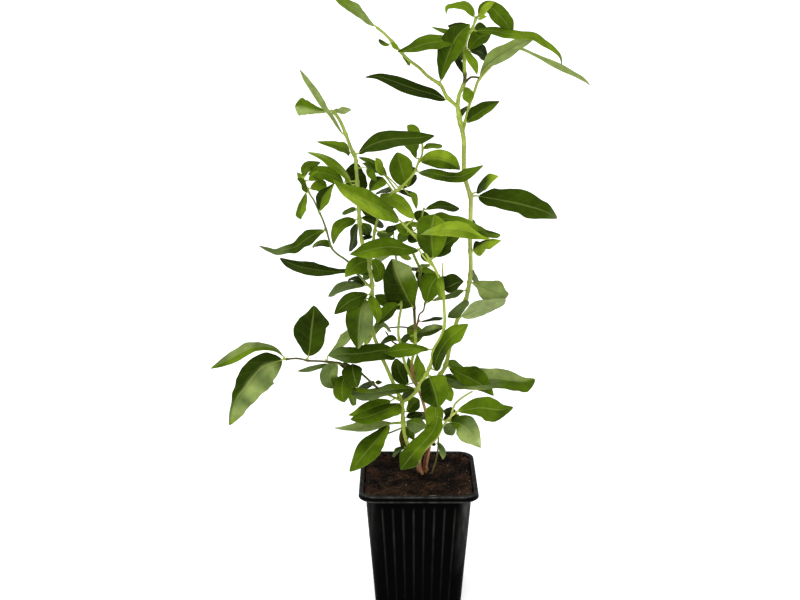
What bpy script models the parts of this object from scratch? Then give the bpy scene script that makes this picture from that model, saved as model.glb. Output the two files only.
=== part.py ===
"""A potted blueberry bush: five leafy canes standing in the soil of a square nursery pot.

Sizes are in millimetres. The origin is the middle of the pot's underside, +X runs to the
right, +Y away from the front and +Z up.
"""

import math

import bmesh
import bpy
from mathutils import Vector

MM = 0.001

# The pot, a square 90 mm nursery pot
POT_HEIGHT = 100.0
RIM_HALF = 45.0
RIM_FLAT = 3.4
LIP_HEIGHT = 5.0
WALL_TOP_HALF = 39.4
BASE_HALF = 32.6
WALL = 1.2
FLOOR = 2.0
CORNER = 8.0
CORNER_STEPS = 4
RIBS_PER_SIDE = 8
RIB_PITCH = 7.9
RIB_RADIUS = 0.9
RIB_SUNK = 0.35
RIB_TOP = 89.5
RIB_FOOT = 3.0
DRAIN_RADIUS = 4.0
DRAIN_PLACE = 19.0

# The soil, which fills the pot up to about 9 mm under its rim
SOIL_TOP = 91.0
SOIL_WAVE = 1.1
SOIL_CELLS = 9
FIT_GAP = 0.3
CANE_DEPTH = 30.0
HOLE_SIDES = 10

# Leaves and their stalks
BLADE_THICKNESS = 0.7
BLADE_SHARE = 0.37
FOLD = math.radians(14)
ARCH_SHARE = 0.07
STALK_WIDTH = 1.4
STALK_LEAST = 3.2
TIP_WIDTH = 0.7

# Readings across and up are taken on the upright plane through the pot's middle, as seen
# from this point. A thing that stands nearer or farther lies on the same line of sight.
VIEWPOINT = Vector((-14.0, -900.0, 490.0))

# Each cane of its own: where it stands in the soil, and its radius there
FEET = {
    "left_cane": ((0.6, 9.0), 1.7),
    "middle_cane": ((5.6, 9.4), 1.5),
    "tall_cane": ((7.6, 14.0), 1.9),
    "right_shoot": ((3.8, 4.4), 1.1),
    "small_shoot": ((10.8, 6.6), 0.8),
}

# Every stem: the node that it belongs to, its radius at either end, and its route as
# (across, up, depth). The first stem of a node rises from its foot in the soil.
STEMS = {
    "left": ("left_cane", 1.7, 0.95, (
        (-0.6, 103, 8), (-2.6, 109, 6.5), (-5, 116, 3.5), (-8, 124, 0.5), (-10.5, 132, -2.5),
        (-11.5, 141, -5.5), (-12, 150, -7), (-12.5, 159, -8.5), (-16, 166.5, -10), (-20, 176, -11.5),
        (-24, 186, -11.5), (-27.5, 194, -11.5), (-31, 204, -13), (-34, 213, -14.5), (-36, 226, -16),
        (-35.5, 238, -16), (-34.5, 247, -16), (-35, 255, -16), (-36.3, 262.5, -14.5), (-38.5, 271, -13),
        (-41.5, 282, -11.5), (-43, 292, -10), (-44, 308, -8.5), (-44.5, 322, -7), (-45.5, 338, -5.5),
        (-46, 345, -4), (-49, 352, -2.5), (-52, 360, -1), (-55, 368, 0.5), (-58, 374, 0.5),
        (-61.5, 378.5, 2))),
    "side": ("left_cane", 0.9, 0.6, (
        (-35, 248, -16), (-39, 252, -19), (-43, 256.5, -22), (-47, 260.5, -26.5), (-51, 267, -29.5),
        (-55, 270.5, -32.5), (-60, 274, -34), (-64, 278.5, -35.5), (-66, 285, -35.5), (-67.5, 291, -34),
        (-70, 299, -32.5), (-73, 306, -31), (-76.5, 314, -29.5), (-80, 320, -28), (-84, 330, -26.5))),
    "inner": ("left_cane", 1.2, 0.7, (
        (-36.3, 262.5, -14.5), (-35.5, 270, -11.5), (-33.5, 284, -7), (-31.5, 296, -2.5), (-27, 308, 2),
        (-20.5, 318, 6.5), (-15, 322, 8), (-10, 327, 9.5), (-4, 334, 11), (-1, 341, 12.5), (2, 348, 14),
        (2, 356, 15.5))),
    "slim": ("left_cane", 1.15, 0.7, (
        (-12.5, 159, -8.5), (-8.5, 160.5, -11.5), (-5, 163.5, -14.5), (-1, 168, -16), (1.5, 174, -17.5),
        (5, 179, -17.5), (8, 185.5, -19), (10, 192, -19), (11.8, 200, -20.5), (14.5, 206, -22),
        (17.8, 213, -22), (19.4, 222, -23.5), (19, 231, -23.5), (18.5, 240, -23.5), (17.8, 249, -23.5),
        (14.5, 257, -22), (11.5, 263.5, -22), (8.5, 268.5, -20.5), (4.5, 275.5, -20.5), (1, 282.5, -19),
        (-3, 287.5, -19), (-8, 292.5, -17.5), (-12.5, 297.5, -16))),
    "stub": ("left_cane", 0.7, 0.6, (
        (17.8, 249, -23.5), (17.6, 258, -25), (17.3, 267, -26.5))),
    "tuft": ("left_cane", 0.8, 0.6, (
        (8.5, 268.5, -20.5), (6, 280, -10), (3, 292, -1), (2, 300, 3.5), (3, 307, 6.5))),
    "low": ("left_cane", 0.95, 0.7, (
        (-12.5, 159, -8.5), (-17, 161.5, -13), (-22, 164, -17.5), (-28, 167.5, -22), (-35, 173.5, -25),
        (-40, 178.5, -26.5), (-45, 183, -28), (-52, 187, -29.5), (-61, 189.8, -31), (-68, 190.6, -31),
        (-75, 191.2, -31), (-83, 191.5, -31), (-88, 192.8, -31), (-93, 193.3, -31),
        (-100, 192.6, -31))),
    "dark_twig": ("left_cane", 0.8, 0.6, (
        (-11.2, 138, -4), (-17, 135.5, 0.5), (-24, 132.5, 6.5))),
    "brown": ("middle_cane", 1.5, 0.7, (
        (5.4, 101, 9.5), (6, 107, 8), (6.6, 113, 6.5), (7.6, 119, 5), (8.2, 125, 3.5), (7.8, 135, 2),
        (6.5, 145, 0.5), (5, 153, -1), (3, 160, -1), (1, 166, -1), (-1.5, 172, -1), (-3.5, 179, 0.5),
        (-5, 186, 0.5), (-4.8, 192, 2), (-3, 200, 2), (-2.3, 210, 3.5), (-2.8, 220, 5),
        (-3.3, 230, 6.5), (-4, 238, 8), (-4, 247, 11), (-2, 255, 14), (0, 262, 17), (-1.5, 268, 21.5),
        (-4.5, 275, 26))),
    "behind": ("middle_cane", 1.2, 0.7, (
        (-1.5, 172, -1), (-4.5, 176.5, -5.5), (-8, 184, -10), (-11, 192, -14.5), (-13.5, 204, -17.5),
        (-15.2, 213, -17.5), (-14.6, 224, -14.5), (-13.2, 233, -7), (-13.5, 245, 3.5), (-15, 258, 11),
        (-17, 272, 17), (-18.5, 284, 21.5))),
    "fork": ("middle_cane", 0.7, 0.6, (
        (-2.7, 217, 5), (-0.8, 221, 5), (0.4, 227.5, 3.5), (3.5, 231, 0.5), (4.6, 237, -1))),
    "bent_twig": ("middle_cane", 0.65, 0.6, (
        (-13.3, 203, -17.5), (-19.5, 206.5, -8.5), (-24, 213.5, -1))),
    "cross_twig": ("middle_cane", 0.65, 0.6, (
        (-2.8, 216.5, 5), (-12, 218, 15.5), (-21, 217.5, 23))),
    "tall": ("tall_cane", 1.9, 1.3, (
        (8, 105, 16), (8.6, 112, 15.5), (9.2, 120, 15.5), (9.6, 130, 15.5), (10, 140, 16),
        (10.5, 150, 17), (11.5, 160, 18.5), (13, 170, 20), (15.5, 179, 21.5), (19, 184.5, 23),
        (21.5, 192, 23), (23, 200, 24.5), (25, 210, 24.5), (27.5, 219, 26), (29.5, 225.5, 26),
        (33, 233.5, 26), (35.3, 240.5, 26), (36.5, 247, 26), (37.7, 255, 26), (38.2, 265, 26),
        (37.8, 275, 24.5), (37.4, 286, 23), (37.5, 300, 21.5), (37.5, 310, 20), (37.4, 317, 20),
        (36, 321, 18.5), (33.5, 329, 17), (32.3, 336, 17), (32, 346, 15.5), (32, 356, 14),
        (31, 363, 14), (29, 371, 12.5), (27, 382, 11))),
    "arm": ("tall_cane", 0.95, 0.6, (
        (27, 382, 11), (24, 384.5, 9.5), (19, 389.5, 8), (15, 397, 6.5), (10, 400.5, 5), (5, 404, 3.5),
        (0, 409, 2), (-8, 415, 0.5), (-14, 421, -1), (-20, 428, -2.5), (-25, 433, -4), (-30, 437, -4))),
    "crest": ("tall_cane", 1.15, 0.7, (
        (27, 382, 11), (28, 390, 9.5), (31, 397, 8), (32, 402, 6.5), (31.6, 410, 5), (31.6, 420, 3.5),
        (33, 430, 2), (36.5, 436, 0.5), (39, 443, -1))),
    "spray": ("tall_cane", 0.85, 0.65, (
        (31, 364, 14), (34, 377, 17), (36, 385, 20), (39, 393, 23), (42, 401, 26), (50, 410, 30.5),
        (58, 419, 35))),
    "right": ("right_shoot", 1.1, 0.75, (
        (3.2, 99, 2), (2, 104, 0), (1.4, 109.5, -4), (2.4, 114.5, -8.5), (5, 119, -13),
        (9, 123.5, -17.5), (13, 127.5, -20.5), (16, 132.5, -23.5), (18.5, 138, -25), (22.5, 144, -26.5),
        (27.5, 149.5, -28))),
    "right_twig": ("right_shoot", 0.7, 0.6, (
        (25, 147, -27), (26.5, 153, -26.5), (28, 157, -25), (31.5, 160.5, -23.5), (36, 164, -22),
        (40, 166.5, -22))),
    "small": ("small_shoot", 0.8, 0.6, (
        (11, 101, 5), (12.2, 105, 4), (13.6, 110, 3), (14.7, 116, 1), (15.3, 122, 0), (15.5, 128, -2),
        (16, 133, -3))),
}

# The leaves of each stem: blade base, tip, how much farther the tip stands than the base,
# the width that shows, and where given the point that the middle of the rib passes.
# A leaf marked "under" turns its underside to the front.
LEAVES = {
    "left": (
        ((-54, 361), (-85, 408), -6, 5),
        ((-63, 379), (-89, 382), 13, 11),
        ((-62, 379.5), (-51, 381), 27, 4.5),
        ((-50, 348), (-73, 357), -19, 8),
        ((-43, 347), (10.5, 361.5), -8, 12, (-16, 358)),
        ((-45, 342), (-44, 318), 22, 17),
        ((-48, 325), (-81, 349.5), 8, 8),
        ((-54, 329), (-79, 333), -16, 8),
        ((-46, 307), (-55, 306), 19, 4),
        ((-45.5, 301), (-63, 281.5), -13, 9, (-58, 296)),
        ((-42, 301), (-26, 298), 28, 7),
        ((-45, 296), (-52, 276), 23, 7),
        ((-42, 284), (-35, 288.5), 23, 4),
        ((-40, 271), (-54.5, 257), -27, 14),
        ((-35, 268), (-31, 252), 23, 10),
        ((-41, 262), (-102, 271.5), 18, 9, (-72, 263)),
        ((-40, 251), (-51, 256), 23, 5),
        ((-40, 250), (-67, 242), 22, 6, (-55, 250)),
        ((-37, 244), (-63, 228), -10, 8, (-52, 239)),
        ((-37.5, 240), (-45.5, 200.5), -20, 19, (-44, 221)),
        ((-34, 242), (-31, 220), -38, 8),
        ((-32, 213), (-20, 213.5), 27, 5, (-27, 218.5)),
        ((-20, 159.8), (-54, 147.5), -5, 10),
        ((-14.5, 157), (-52, 144), -22, 13, (-32, 150)),
        ((-20, 141.5), (-64, 137.5), -5, 5, (-42, 139)),
        ((-22.5, 140), (-53, 101.5), -32, 17, (-40, 121)),
        ((-11, 138.5), (-9.5, 123), 17, 11),
        ((-9, 142.5), (7, 139), -25, 11),
        ((-9, 151), (0.5, 161), 19, 8),
        ((-9, 147), (3, 149.5), 13, 3),
        ((-10, 121.5), (-20, 117), 11, 5),
        ((-43.5, 318), (-38, 308), 34, 10),
        ((-35, 258), (-44, 262), 34, 8),
        ((-35.5, 232), (-43, 222), 36, 12),
        ((-12, 152), (-30, 151), 30, 9),
    ),
    "side": (
        ((-82, 320), (-86, 300), -19, 6.5),
        ((-72, 305), (-61, 327), -10, 10),
        ((-84, 331), (-70, 343), 15, 7, (-80, 341)),
        ((-82, 323), (-90, 331), -15, 5),
        ((-80, 323), (-68, 329), 15, 5),
        ((-69.5, 294), (-118, 280.5), 8, 11, (-90, 283)),
        ((-65.5, 279), (-78, 281.5), 23, 6),
    ),
    "inner": (
        ((-24, 332), (-44, 346), 13, 7),
        ((-25, 331), (-42, 340), -19, 9),
        ((-25, 328), (-36, 321), -23, 8),
        ((-8, 330), (-16, 350), 15, 17),
        ((-2, 345), (-6, 358), 27, 10),
        ((1, 356), (-9, 369), 11, 7),
        ((2.5, 350), (16.5, 354.5), 19, 5),
        ((0, 343), (29, 337), -13, 13),
        ((-1, 335), (46, 340), -18, 9, (22, 331)),
        ((-21, 319.5), (-29, 321), 30, 7),
        ((-14, 320), (-1, 319), 27, 6),
        ((-9, 320), (-3, 313), -15, 4),
        ((-29, 305), (-20, 312), 36, 9),
        ((-5, 333), (-12, 341), 32, 9),
    ),
    "slim": (
        ((-15.5, 299), (-62, 330), -28, 16),
        ((-5, 299), (-28, 318), 27, 12),
        ((0, 276.5), (-50.5, 274.5), -20, 12, (-25, 279.5)),
        ((10, 271), (11, 305), -8, 20),
        ((1, 289.5), (60, 284.5), -8, 10, (28, 292.5)),
        ((11, 270), (31, 288), 21, 12),
        ((15, 242.5), (17.5, 258), -17, 7),
        ((19, 246), (33, 252.5), -28, 13),
        ((13, 186), (37, 219.5), -10, 11),
        ((8, 179.5), (15, 153), -26, 20),
        ((9, 178), (26.5, 158.5), -5, 9),
        ((7, 200.5), (-26, 198.5), -11, 12, (-9, 200)),
        ((20, 219.5), (-1, 214.5), 23, 7),
        ((-3, 169.5), (-55, 168), -11, 8, (-28, 167)),
        ((3, 279), (12, 288), 38, 12),
    ),
    "tuft": (
        ((4, 307), (30, 308.5), 19, 7, (16, 311)),
        ((5, 300), (45, 294.5), 1, 10, (25, 300)),
    ),
    "low": (
        ((-101, 194), (-156, 185.5), -5, 7, (-126, 202.5)),
        ((-101.5, 192), (-144.5, 139), -18, 24, (-128, 172)),
        ((-83, 194.5), (-78, 235), 8, 22),
        ((-62, 189), (-91, 183.5), 13, 3.5),
        ((-60, 188), (-64, 169.5), -23, 15, (-66, 179)),
        ((-53, 186.5), (-48, 171), -11, 12),
        ((-47, 182), (-50.5, 155.5), 14, 12),
        ((-51, 184), (-57, 158), -8, 9),
        ((-67, 194), (-51, 217), 16, 7),
        ((-37, 174.5), (-46, 170.5), 23, 4),
        ((-48, 185), (-53, 178), 30, 10),
    ),
    "dark_twig": (
        ((-25, 132), (-38, 121), 49, 10),
    ),
    "brown": (
        ((-4.5, 234), (-20, 271), -19, 24, (-15, 251)),
        ((1, 260), (14, 257.5), 23, 4),
        ((-1, 261), (-7, 264), 23, 4),
        ((1, 263.5), (8, 266.5), 19, 4),
        ((-3.5, 204.5), (-4.5, 221.5), 19, 11),
        ((-7, 174), (-16, 193), 27, 11),
        ((0, 175), (-1, 196), -10, 9),
        ((-4.5, 184), (-12, 182), 30, 9),
        ((6, 144), (-2, 151), 30, 9),
    ),
    "behind": (
        ((-15, 235), (-31, 219.5), -13, 12),
        ((-18, 199), (-68, 195.5), -21, 13, (-42, 197)),
        ((-15.5, 207.5), (-29.5, 204), 19, 4, (-23, 208)),
        ((-16.5, 276), (-5, 272), 19, 5),
        ((-19, 275), (-33, 270.5), 27, 6),
        ((-18.5, 289), (-30, 291), 23, 6),
        ((-14.5, 255), (-12, 247), 34, 10),
    ),
    "fork": (
        ((4.8, 238.5), (16, 257), 8, 13),
        ((1.5, 222), (18, 227), 23, 3),
    ),
    "tall": (
        ((34, 371), (57, 386), -13, 10),
        ((29.5, 374), (29, 383), 19, 4),
        ((41, 319.5), (57, 334), -23, 7),
        ((43, 317.5), (101, 300.5), -8, 15, (73, 313.5)),
        ((40, 292), (60, 287.5), 15, 7),
        ((39.5, 281.5), (60, 283), -23, 11),
        ((39, 252.5), (67, 243.5), -19, 13, (53, 248), "under"),
        ((31.5, 227), (64.5, 240.5), -18, 11, (48, 231), "under"),
        ((34, 239), (21, 226), -23, 9),
        ((34.5, 247.5), (9, 238.5), 2, 4.5),
        ((23, 186.5), (57, 163.5), -15, 16, (42, 177)),
        ((24, 184), (88, 177), 2, 15, (58, 178)),
        ((19.5, 178.5), (36, 173), 25, 8),
        ((17, 171.5), (42, 171), 19, 3.5),
        ((12, 165), (13, 171), 34, 10),
        ((20.5, 188.5), (40, 181), 34, 9),
        ((37.5, 296), (44, 291), 32, 5),
        ((37.7, 258), (50, 250), 34, 8),
    ),
    "arm": (
        ((-30, 437.5), (-62, 460), -10, 9),
        ((-25, 430), (-31, 424), 8, 3.5),
        ((-19, 424), (-17, 415.5), -8, 3.5),
        ((-10, 414), (-1, 409), 10, 3.5),
        ((20, 387), (-39, 403), -8, 10, (-8, 398)),
        ((15, 399), (34, 440), -15, 15, (20, 421)),
    ),
    "crest": (
        ((30.5, 426), (-16, 419.5), -11, 10, (8, 427)),
        ((38.5, 443), (18, 447), -11, 7, (31, 451.5)),
        ((40, 444), (52, 454), -8, 4),
        ((40, 443), (47, 444.5), -13, 3),
        ((40, 443), (67, 433), 8, 14, (54, 449.5)),
        ((38.5, 434), (99.5, 411), 20, 7, (75, 431.5)),
        ((33, 421), (47, 437), 19, 15),
        ((33, 420), (47, 415), 27, 7),
        ((33, 418), (41, 405), -17, 7),
        ((31, 404), (25, 420), 23, 6),
        ((30, 432), (8, 438.5), 16, 4),
        ((32, 396), (35, 384), -17, 6),
        ((31.6, 414), (22, 425), 32, 10),
    ),
    "spray": (
        ((42.5, 402.5), (82, 430), -9, 13, (60, 418.5), "under"),
        ((59, 420), (121, 397), 10, 3.5, (92, 412)),
    ),
    "right": (
        ((29, 150.5), (72.5, 154.5), -10, 14, (50, 154)),
        ((24, 142), (49, 121), -21, 20, (39, 134)),
        ((27, 150.5), (19, 152), 19, 5),
        ((16, 134.5), (-13.5, 101), -25, 17, (3, 119)),
        ((16, 136), (13, 158), 5, 14),
    ),
    "small": (
        ((15.6, 126), (20, 111.5), -15, 5),
        ((15, 124.5), (9.5, 123.5), 7, 3),
    ),
}

GREEN = (0.085, 0.19, 0.018, 1.0)
BLACK = (0.012, 0.012, 0.013, 1.0)
BROWN = (0.035, 0.018, 0.011, 1.0)


def sight(across, up, depth):
    """The point in space of a reading, at its depth behind the pot's middle plane."""
    share = 1 + depth / -VIEWPOINT.y
    return VIEWPOINT + (Vector((across, 0.0, up)) - VIEWPOINT) * share


def clear_scene():
    for obj in list(bpy.data.objects):
        bpy.data.objects.remove(obj, do_unlink=True)


def new_collection(name):
    group = bpy.data.collections.new(name)
    bpy.context.scene.collection.children.link(group)
    return group


def plain_material(name, colour, roughness):
    material = bpy.data.materials.new(name)
    material.use_nodes = True
    shader = material.node_tree.nodes["Principled BSDF"]
    shader.inputs["Base Color"].default_value = colour
    shader.inputs["Roughness"].default_value = roughness
    shader.inputs["Metallic"].default_value = 0.0
    return material


def add_object(name, mesh, group):
    obj = bpy.data.objects.new(name, mesh)
    group.objects.link(obj)
    return obj


def baked(obj):
    """The object's evaluated mesh, as a mesh of its own."""
    graph = bpy.context.evaluated_depsgraph_get()
    return bpy.data.meshes.new_from_object(obj.evaluated_get(graph))


def remove(obj):
    bpy.data.objects.remove(obj, do_unlink=True)


def tube(name, points, radii, sides_level, group):
    """A round stem or stalk along the points, as a closed mesh."""
    curve = bpy.data.curves.new(name, "CURVE")
    curve.dimensions = "3D"
    curve.bevel_depth = MM
    curve.bevel_resolution = sides_level
    curve.use_fill_caps = True
    spline = curve.splines.new("POLY")
    spline.points.add(len(points) - 1)
    for place, point, radius in zip(spline.points, points, radii):
        place.co = (*(point * MM), 1.0)
        place.radius = radius
    guide = add_object(name + "_guide", curve, group)
    bpy.context.view_layer.update()
    mesh = baked(guide)
    remove(guide)
    shape = bmesh.new()
    shape.from_mesh(mesh)
    bmesh.ops.remove_doubles(shape, verts=shape.verts, dist=1e-6)
    bmesh.ops.recalc_face_normals(shape, faces=shape.faces)
    shape.to_mesh(mesh)
    shape.free()
    return add_object(name, mesh, group)


def union(base, pieces, solver="EXACT"):
    """The base object fused with every object of the collection, which is then emptied."""
    fuse = base.modifiers.new("fuse", "BOOLEAN")
    fuse.operation = "UNION"
    fuse.operand_type = "COLLECTION"
    fuse.collection = pieces
    fuse.solver = solver
    bpy.context.view_layer.update()
    mesh = baked(base)
    base.modifiers.remove(fuse)
    base.data = mesh
    for obj in list(pieces.objects):
        remove(obj)
    bpy.data.collections.remove(pieces)


def cut(base, cutter):
    """A Boolean difference that stays on the object as a modifier."""
    trim = base.modifiers.new("cut_" + cutter.name, "BOOLEAN")
    trim.operation = "DIFFERENCE"
    trim.object = cutter
    cutter.hide_render = True
    cutter.display_type = "WIRE"


def rounded_square(half, radius, height):
    """The outline of a square with round corners, as points at one height."""
    points = []
    for quarter in range(4):
        turn = math.radians(90 * quarter)
        for step in range(CORNER_STEPS + 1):
            angle = turn + math.radians(90) * step / CORNER_STEPS
            middle_x = (half - radius) * (1 if quarter in (0, 3) else -1)
            middle_y = (half - radius) * (1 if quarter in (0, 1) else -1)
            points.append(Vector((
                middle_x + radius * math.cos(angle), middle_y + radius * math.sin(angle), height)))
    return points


def square_loft(name, rings, group):
    """A closed body whose sides join rounded squares, given as (height, half, corner radius)."""
    shape = bmesh.new()
    loops = []
    for height, half, radius in rings:
        verts = [shape.verts.new(point * MM) for point in rounded_square(half, radius, height)]
        loops.append(verts)
    for lower, upper in zip(loops, loops[1:]):
        for i in range(len(lower)):
            j = (i + 1) % len(lower)
            shape.faces.new((lower[i], lower[j], upper[j], upper[i]))
    shape.faces.new(reversed(loops[0]))
    shape.faces.new(loops[-1])
    bmesh.ops.recalc_face_normals(shape, faces=shape.faces)
    mesh = bpy.data.meshes.new(name)
    shape.to_mesh(mesh)
    shape.free()
    return add_object(name, mesh, group)


def cylinder(name, centre, radius, height, sides, group):
    shape = bmesh.new()
    bmesh.ops.create_cone(
        shape, cap_ends=True, segments=sides, radius1=radius * MM, radius2=radius * MM, depth=height * MM)
    bmesh.ops.translate(shape, verts=shape.verts, vec=Vector(centre) * MM)
    mesh = bpy.data.meshes.new(name)
    shape.to_mesh(mesh)
    shape.free()
    return add_object(name, mesh, group)


def wall_half(height):
    """Half the width of the pot's outer wall at a height."""
    return BASE_HALF + (WALL_TOP_HALF - BASE_HALF) * height / (POT_HEIGHT - LIP_HEIGHT)


def inner_half(height):
    """Half the width of the pot's inside at a height."""
    return wall_half(height) - WALL


def make_pot(group, cutters):
    lip = POT_HEIGHT - LIP_HEIGHT
    rings = (
        (0.0, BASE_HALF - 0.6, CORNER - 1.6),
        (0.7, BASE_HALF, CORNER - 1.0),
        (lip, WALL_TOP_HALF, CORNER),
        (lip + 0.9, RIM_HALF - 1.9, CORNER + 1.5),
        (lip + 2.1, RIM_HALF - 0.3, CORNER + 2.0),
        (POT_HEIGHT - 0.6, RIM_HALF, CORNER + 2.0),
        (POT_HEIGHT, RIM_HALF - 0.5, CORNER + 1.7),
        (POT_HEIGHT, RIM_HALF - RIM_FLAT, CORNER + 0.2),
        (POT_HEIGHT - 1.4, RIM_HALF - RIM_FLAT - 1.0, CORNER - 0.4),
        (lip + 0.8, inner_half(lip + 0.8), CORNER - 1.0),
        (FLOOR, inner_half(FLOOR), CORNER - 2.0),
    )
    pot = square_loft("pot", rings, group)
    ribs = new_collection("rib_pieces")
    middle = (RIBS_PER_SIDE - 1) / 2
    for side in range(4):
        turn = math.radians(90 * side)
        for rib in range(RIBS_PER_SIDE):
            ends = []
            for height in (RIB_FOOT, RIB_TOP):
                spread = RIB_PITCH * wall_half(height) / WALL_TOP_HALF
                place = (rib - middle) * spread
                out = wall_half(height) - RIB_SUNK
                ends.append(Vector((
                    place * math.cos(turn) + out * math.sin(turn),
                    place * math.sin(turn) - out * math.cos(turn), height)))
            tube(f"rib_{side}_{rib}", ends, (RIB_RADIUS, RIB_RADIUS), 0, ribs)
    union(pot, ribs)
    for side_x in (-1, 1):
        for side_y in (-1, 1):
            name = f"drain_{side_x + 1}{side_y + 1}"
            centre = (side_x * DRAIN_PLACE, side_y * DRAIN_PLACE, FLOOR / 2)
            cut(pot, cylinder(name, centre, DRAIN_RADIUS, FLOOR * 3, 12, cutters))
    pot.data.materials.append(plain_material("black_plastic", BLACK, 0.42))
    pot.data.shade_smooth()
    pot.data.set_sharp_from_angle(angle=math.radians(35))


def soil_height(x, y):
    """The soil's gently uneven top, a little higher round the canes."""
    heap = 1.6 * math.exp(-((x - 5) ** 2 + (y - 8) ** 2) / 260)
    wave = math.sin(x * 0.23 + 0.7) * math.cos(y * 0.19) + 0.6 * math.sin(x * 0.41 - y * 0.37)
    return SOIL_TOP - 0.8 + heap + SOIL_WAVE * wave


def make_soil(group, cutters):
    low, high = FLOOR + FIT_GAP, POT_HEIGHT - LIP_HEIGHT
    rings = [
        (height, inner_half(height) - FIT_GAP, CORNER - 1.9 + (height - low) / (high - low))
        for height in (low, high)
    ]
    soil = square_loft("soil", rings, group)
    shape = bmesh.new()
    bmesh.ops.create_grid(shape, x_segments=SOIL_CELLS, y_segments=SOIL_CELLS, size=(RIM_HALF + 2) * MM)
    for vert in shape.verts:
        vert.co.z = soil_height(vert.co.x / MM, vert.co.y / MM) * MM
    bmesh.ops.triangulate(shape, faces=shape.faces)
    raised = bmesh.ops.extrude_face_region(shape, geom=shape.faces[:])
    for vert in (item for item in raised["geom"] if isinstance(item, bmesh.types.BMVert)):
        vert.co.z = (POT_HEIGHT + 20) * MM
    bmesh.ops.recalc_face_normals(shape, faces=shape.faces)
    mesh = bpy.data.meshes.new("soil_top_cutter")
    shape.to_mesh(mesh)
    shape.free()
    cut(soil, add_object("soil_top_cutter", mesh, cutters))
    for node, ((x, y), radius) in FEET.items():
        bottom = SOIL_TOP - CANE_DEPTH - FIT_GAP
        height = CANE_DEPTH + 20
        hole = cylinder(
            node + "_hole", (x, y, bottom + height / 2), radius + FIT_GAP + 0.1, height, HOLE_SIDES, cutters)
        cut(soil, hole)
    soil.data.materials.append(plain_material("peat", BROWN, 0.95))


def stem_points(name):
    """The route of a stem in space. A node's first stem starts below the soil."""
    node, _, _, readings = STEMS[name]
    points = [sight(*reading) for reading in readings]
    if name == next(stem for stem in STEMS if STEMS[stem][0] == node):
        (x, y), _ = FEET[node]
        points = [Vector((x, y, SOIL_TOP - CANE_DEPTH)), Vector((x, y, SOIL_TOP + 3))] + points
    return points


def nearest_reading(name, across, up):
    """The (across, up, depth) on a stem that lies nearest to a place, as seen from the front."""
    readings = STEMS[name][3]
    best = None
    for start, end in zip(readings, readings[1:]):
        run_x, run_z = end[0] - start[0], end[1] - start[1]
        share = ((across - start[0]) * run_x + (up - start[1]) * run_z) / (run_x ** 2 + run_z ** 2)
        share = min(max(share, 0.0), 1.0)
        place = tuple(a + (b - a) * share for a, b in zip(start, end))
        gap = math.hypot(place[0] - across, place[1] - up)
        if best is None or gap < best[0]:
            best = (gap, place)
    return best[1]


def blade_outline(share):
    """Half the width of a blade at a share of its length, as a part of its widest half."""
    return math.sin(math.pi * share ** 0.88) ** 0.85


def leaf_frame(stem, base, tip, reach, width, middle=None, face="upper"):
    """Where a leaf lies: its stalk's root, the three points of its rib, its true width and tilt."""
    root_reading = nearest_reading(stem, *base)
    root = sight(*root_reading)
    base_depth = root_reading[2] + reach * 0.06
    tip_depth = base_depth + reach
    start, end = sight(*base, base_depth), sight(*tip, tip_depth)
    start += (end - start).normalized() * max(0.0, STALK_LEAST - (start - root).length)
    length = (end - start).length
    turned = face == "under"
    arch = ARCH_SHARE * length * (1 if turned else -1)
    if middle is None:
        middle = ((base[0] + tip[0]) / 2, (base[1] + tip[1]) / 2)
    via = sight(*middle, (base_depth + tip_depth) / 2 + arch)
    true_width = max(width, BLADE_SHARE * length)
    tilt = math.acos(min(1.0, width / true_width))
    return root, (start, via, end), true_width, tilt, turned


def rib_point(points, share):
    start, via, end = points
    knee = 2 * via - (start + end) / 2
    return (1 - share) ** 2 * start + 2 * share * (1 - share) * knee + share ** 2 * end


def rib_direction(points, share):
    low, high = max(share - 0.02, 0), min(share + 0.02, 1)
    return (rib_point(points, high) - rib_point(points, low)).normalized()


def blade_sides(place, along, tilt, turned):
    """For either way of tilting, the directions across a blade and out of its upper face."""
    to_eye = (VIEWPOINT - place).normalized()
    across = along.cross(to_eye).normalized()
    facing = across.cross(along).normalized()
    choices = []
    for side in (-1, 1):
        over = across * math.cos(tilt) + side * facing * math.sin(tilt)
        out = facing * math.cos(tilt) - side * across * math.sin(tilt)
        choices.append((over, -out if turned else out))
    return choices


def blade_turn(points, tilt, turned):
    """Which way a blade tilts so that its upper face looks more upwards."""
    choices = blade_sides(rib_point(points, 0.5), rib_direction(points, 0.5), tilt, turned)
    return 0 if choices[0][1].z > choices[1][1].z else 1


def leaf_rows(length):
    """How many steps a blade takes from its base to its tip."""
    if length < 14:
        return 2
    return 3 if length < 54 else 4


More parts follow.
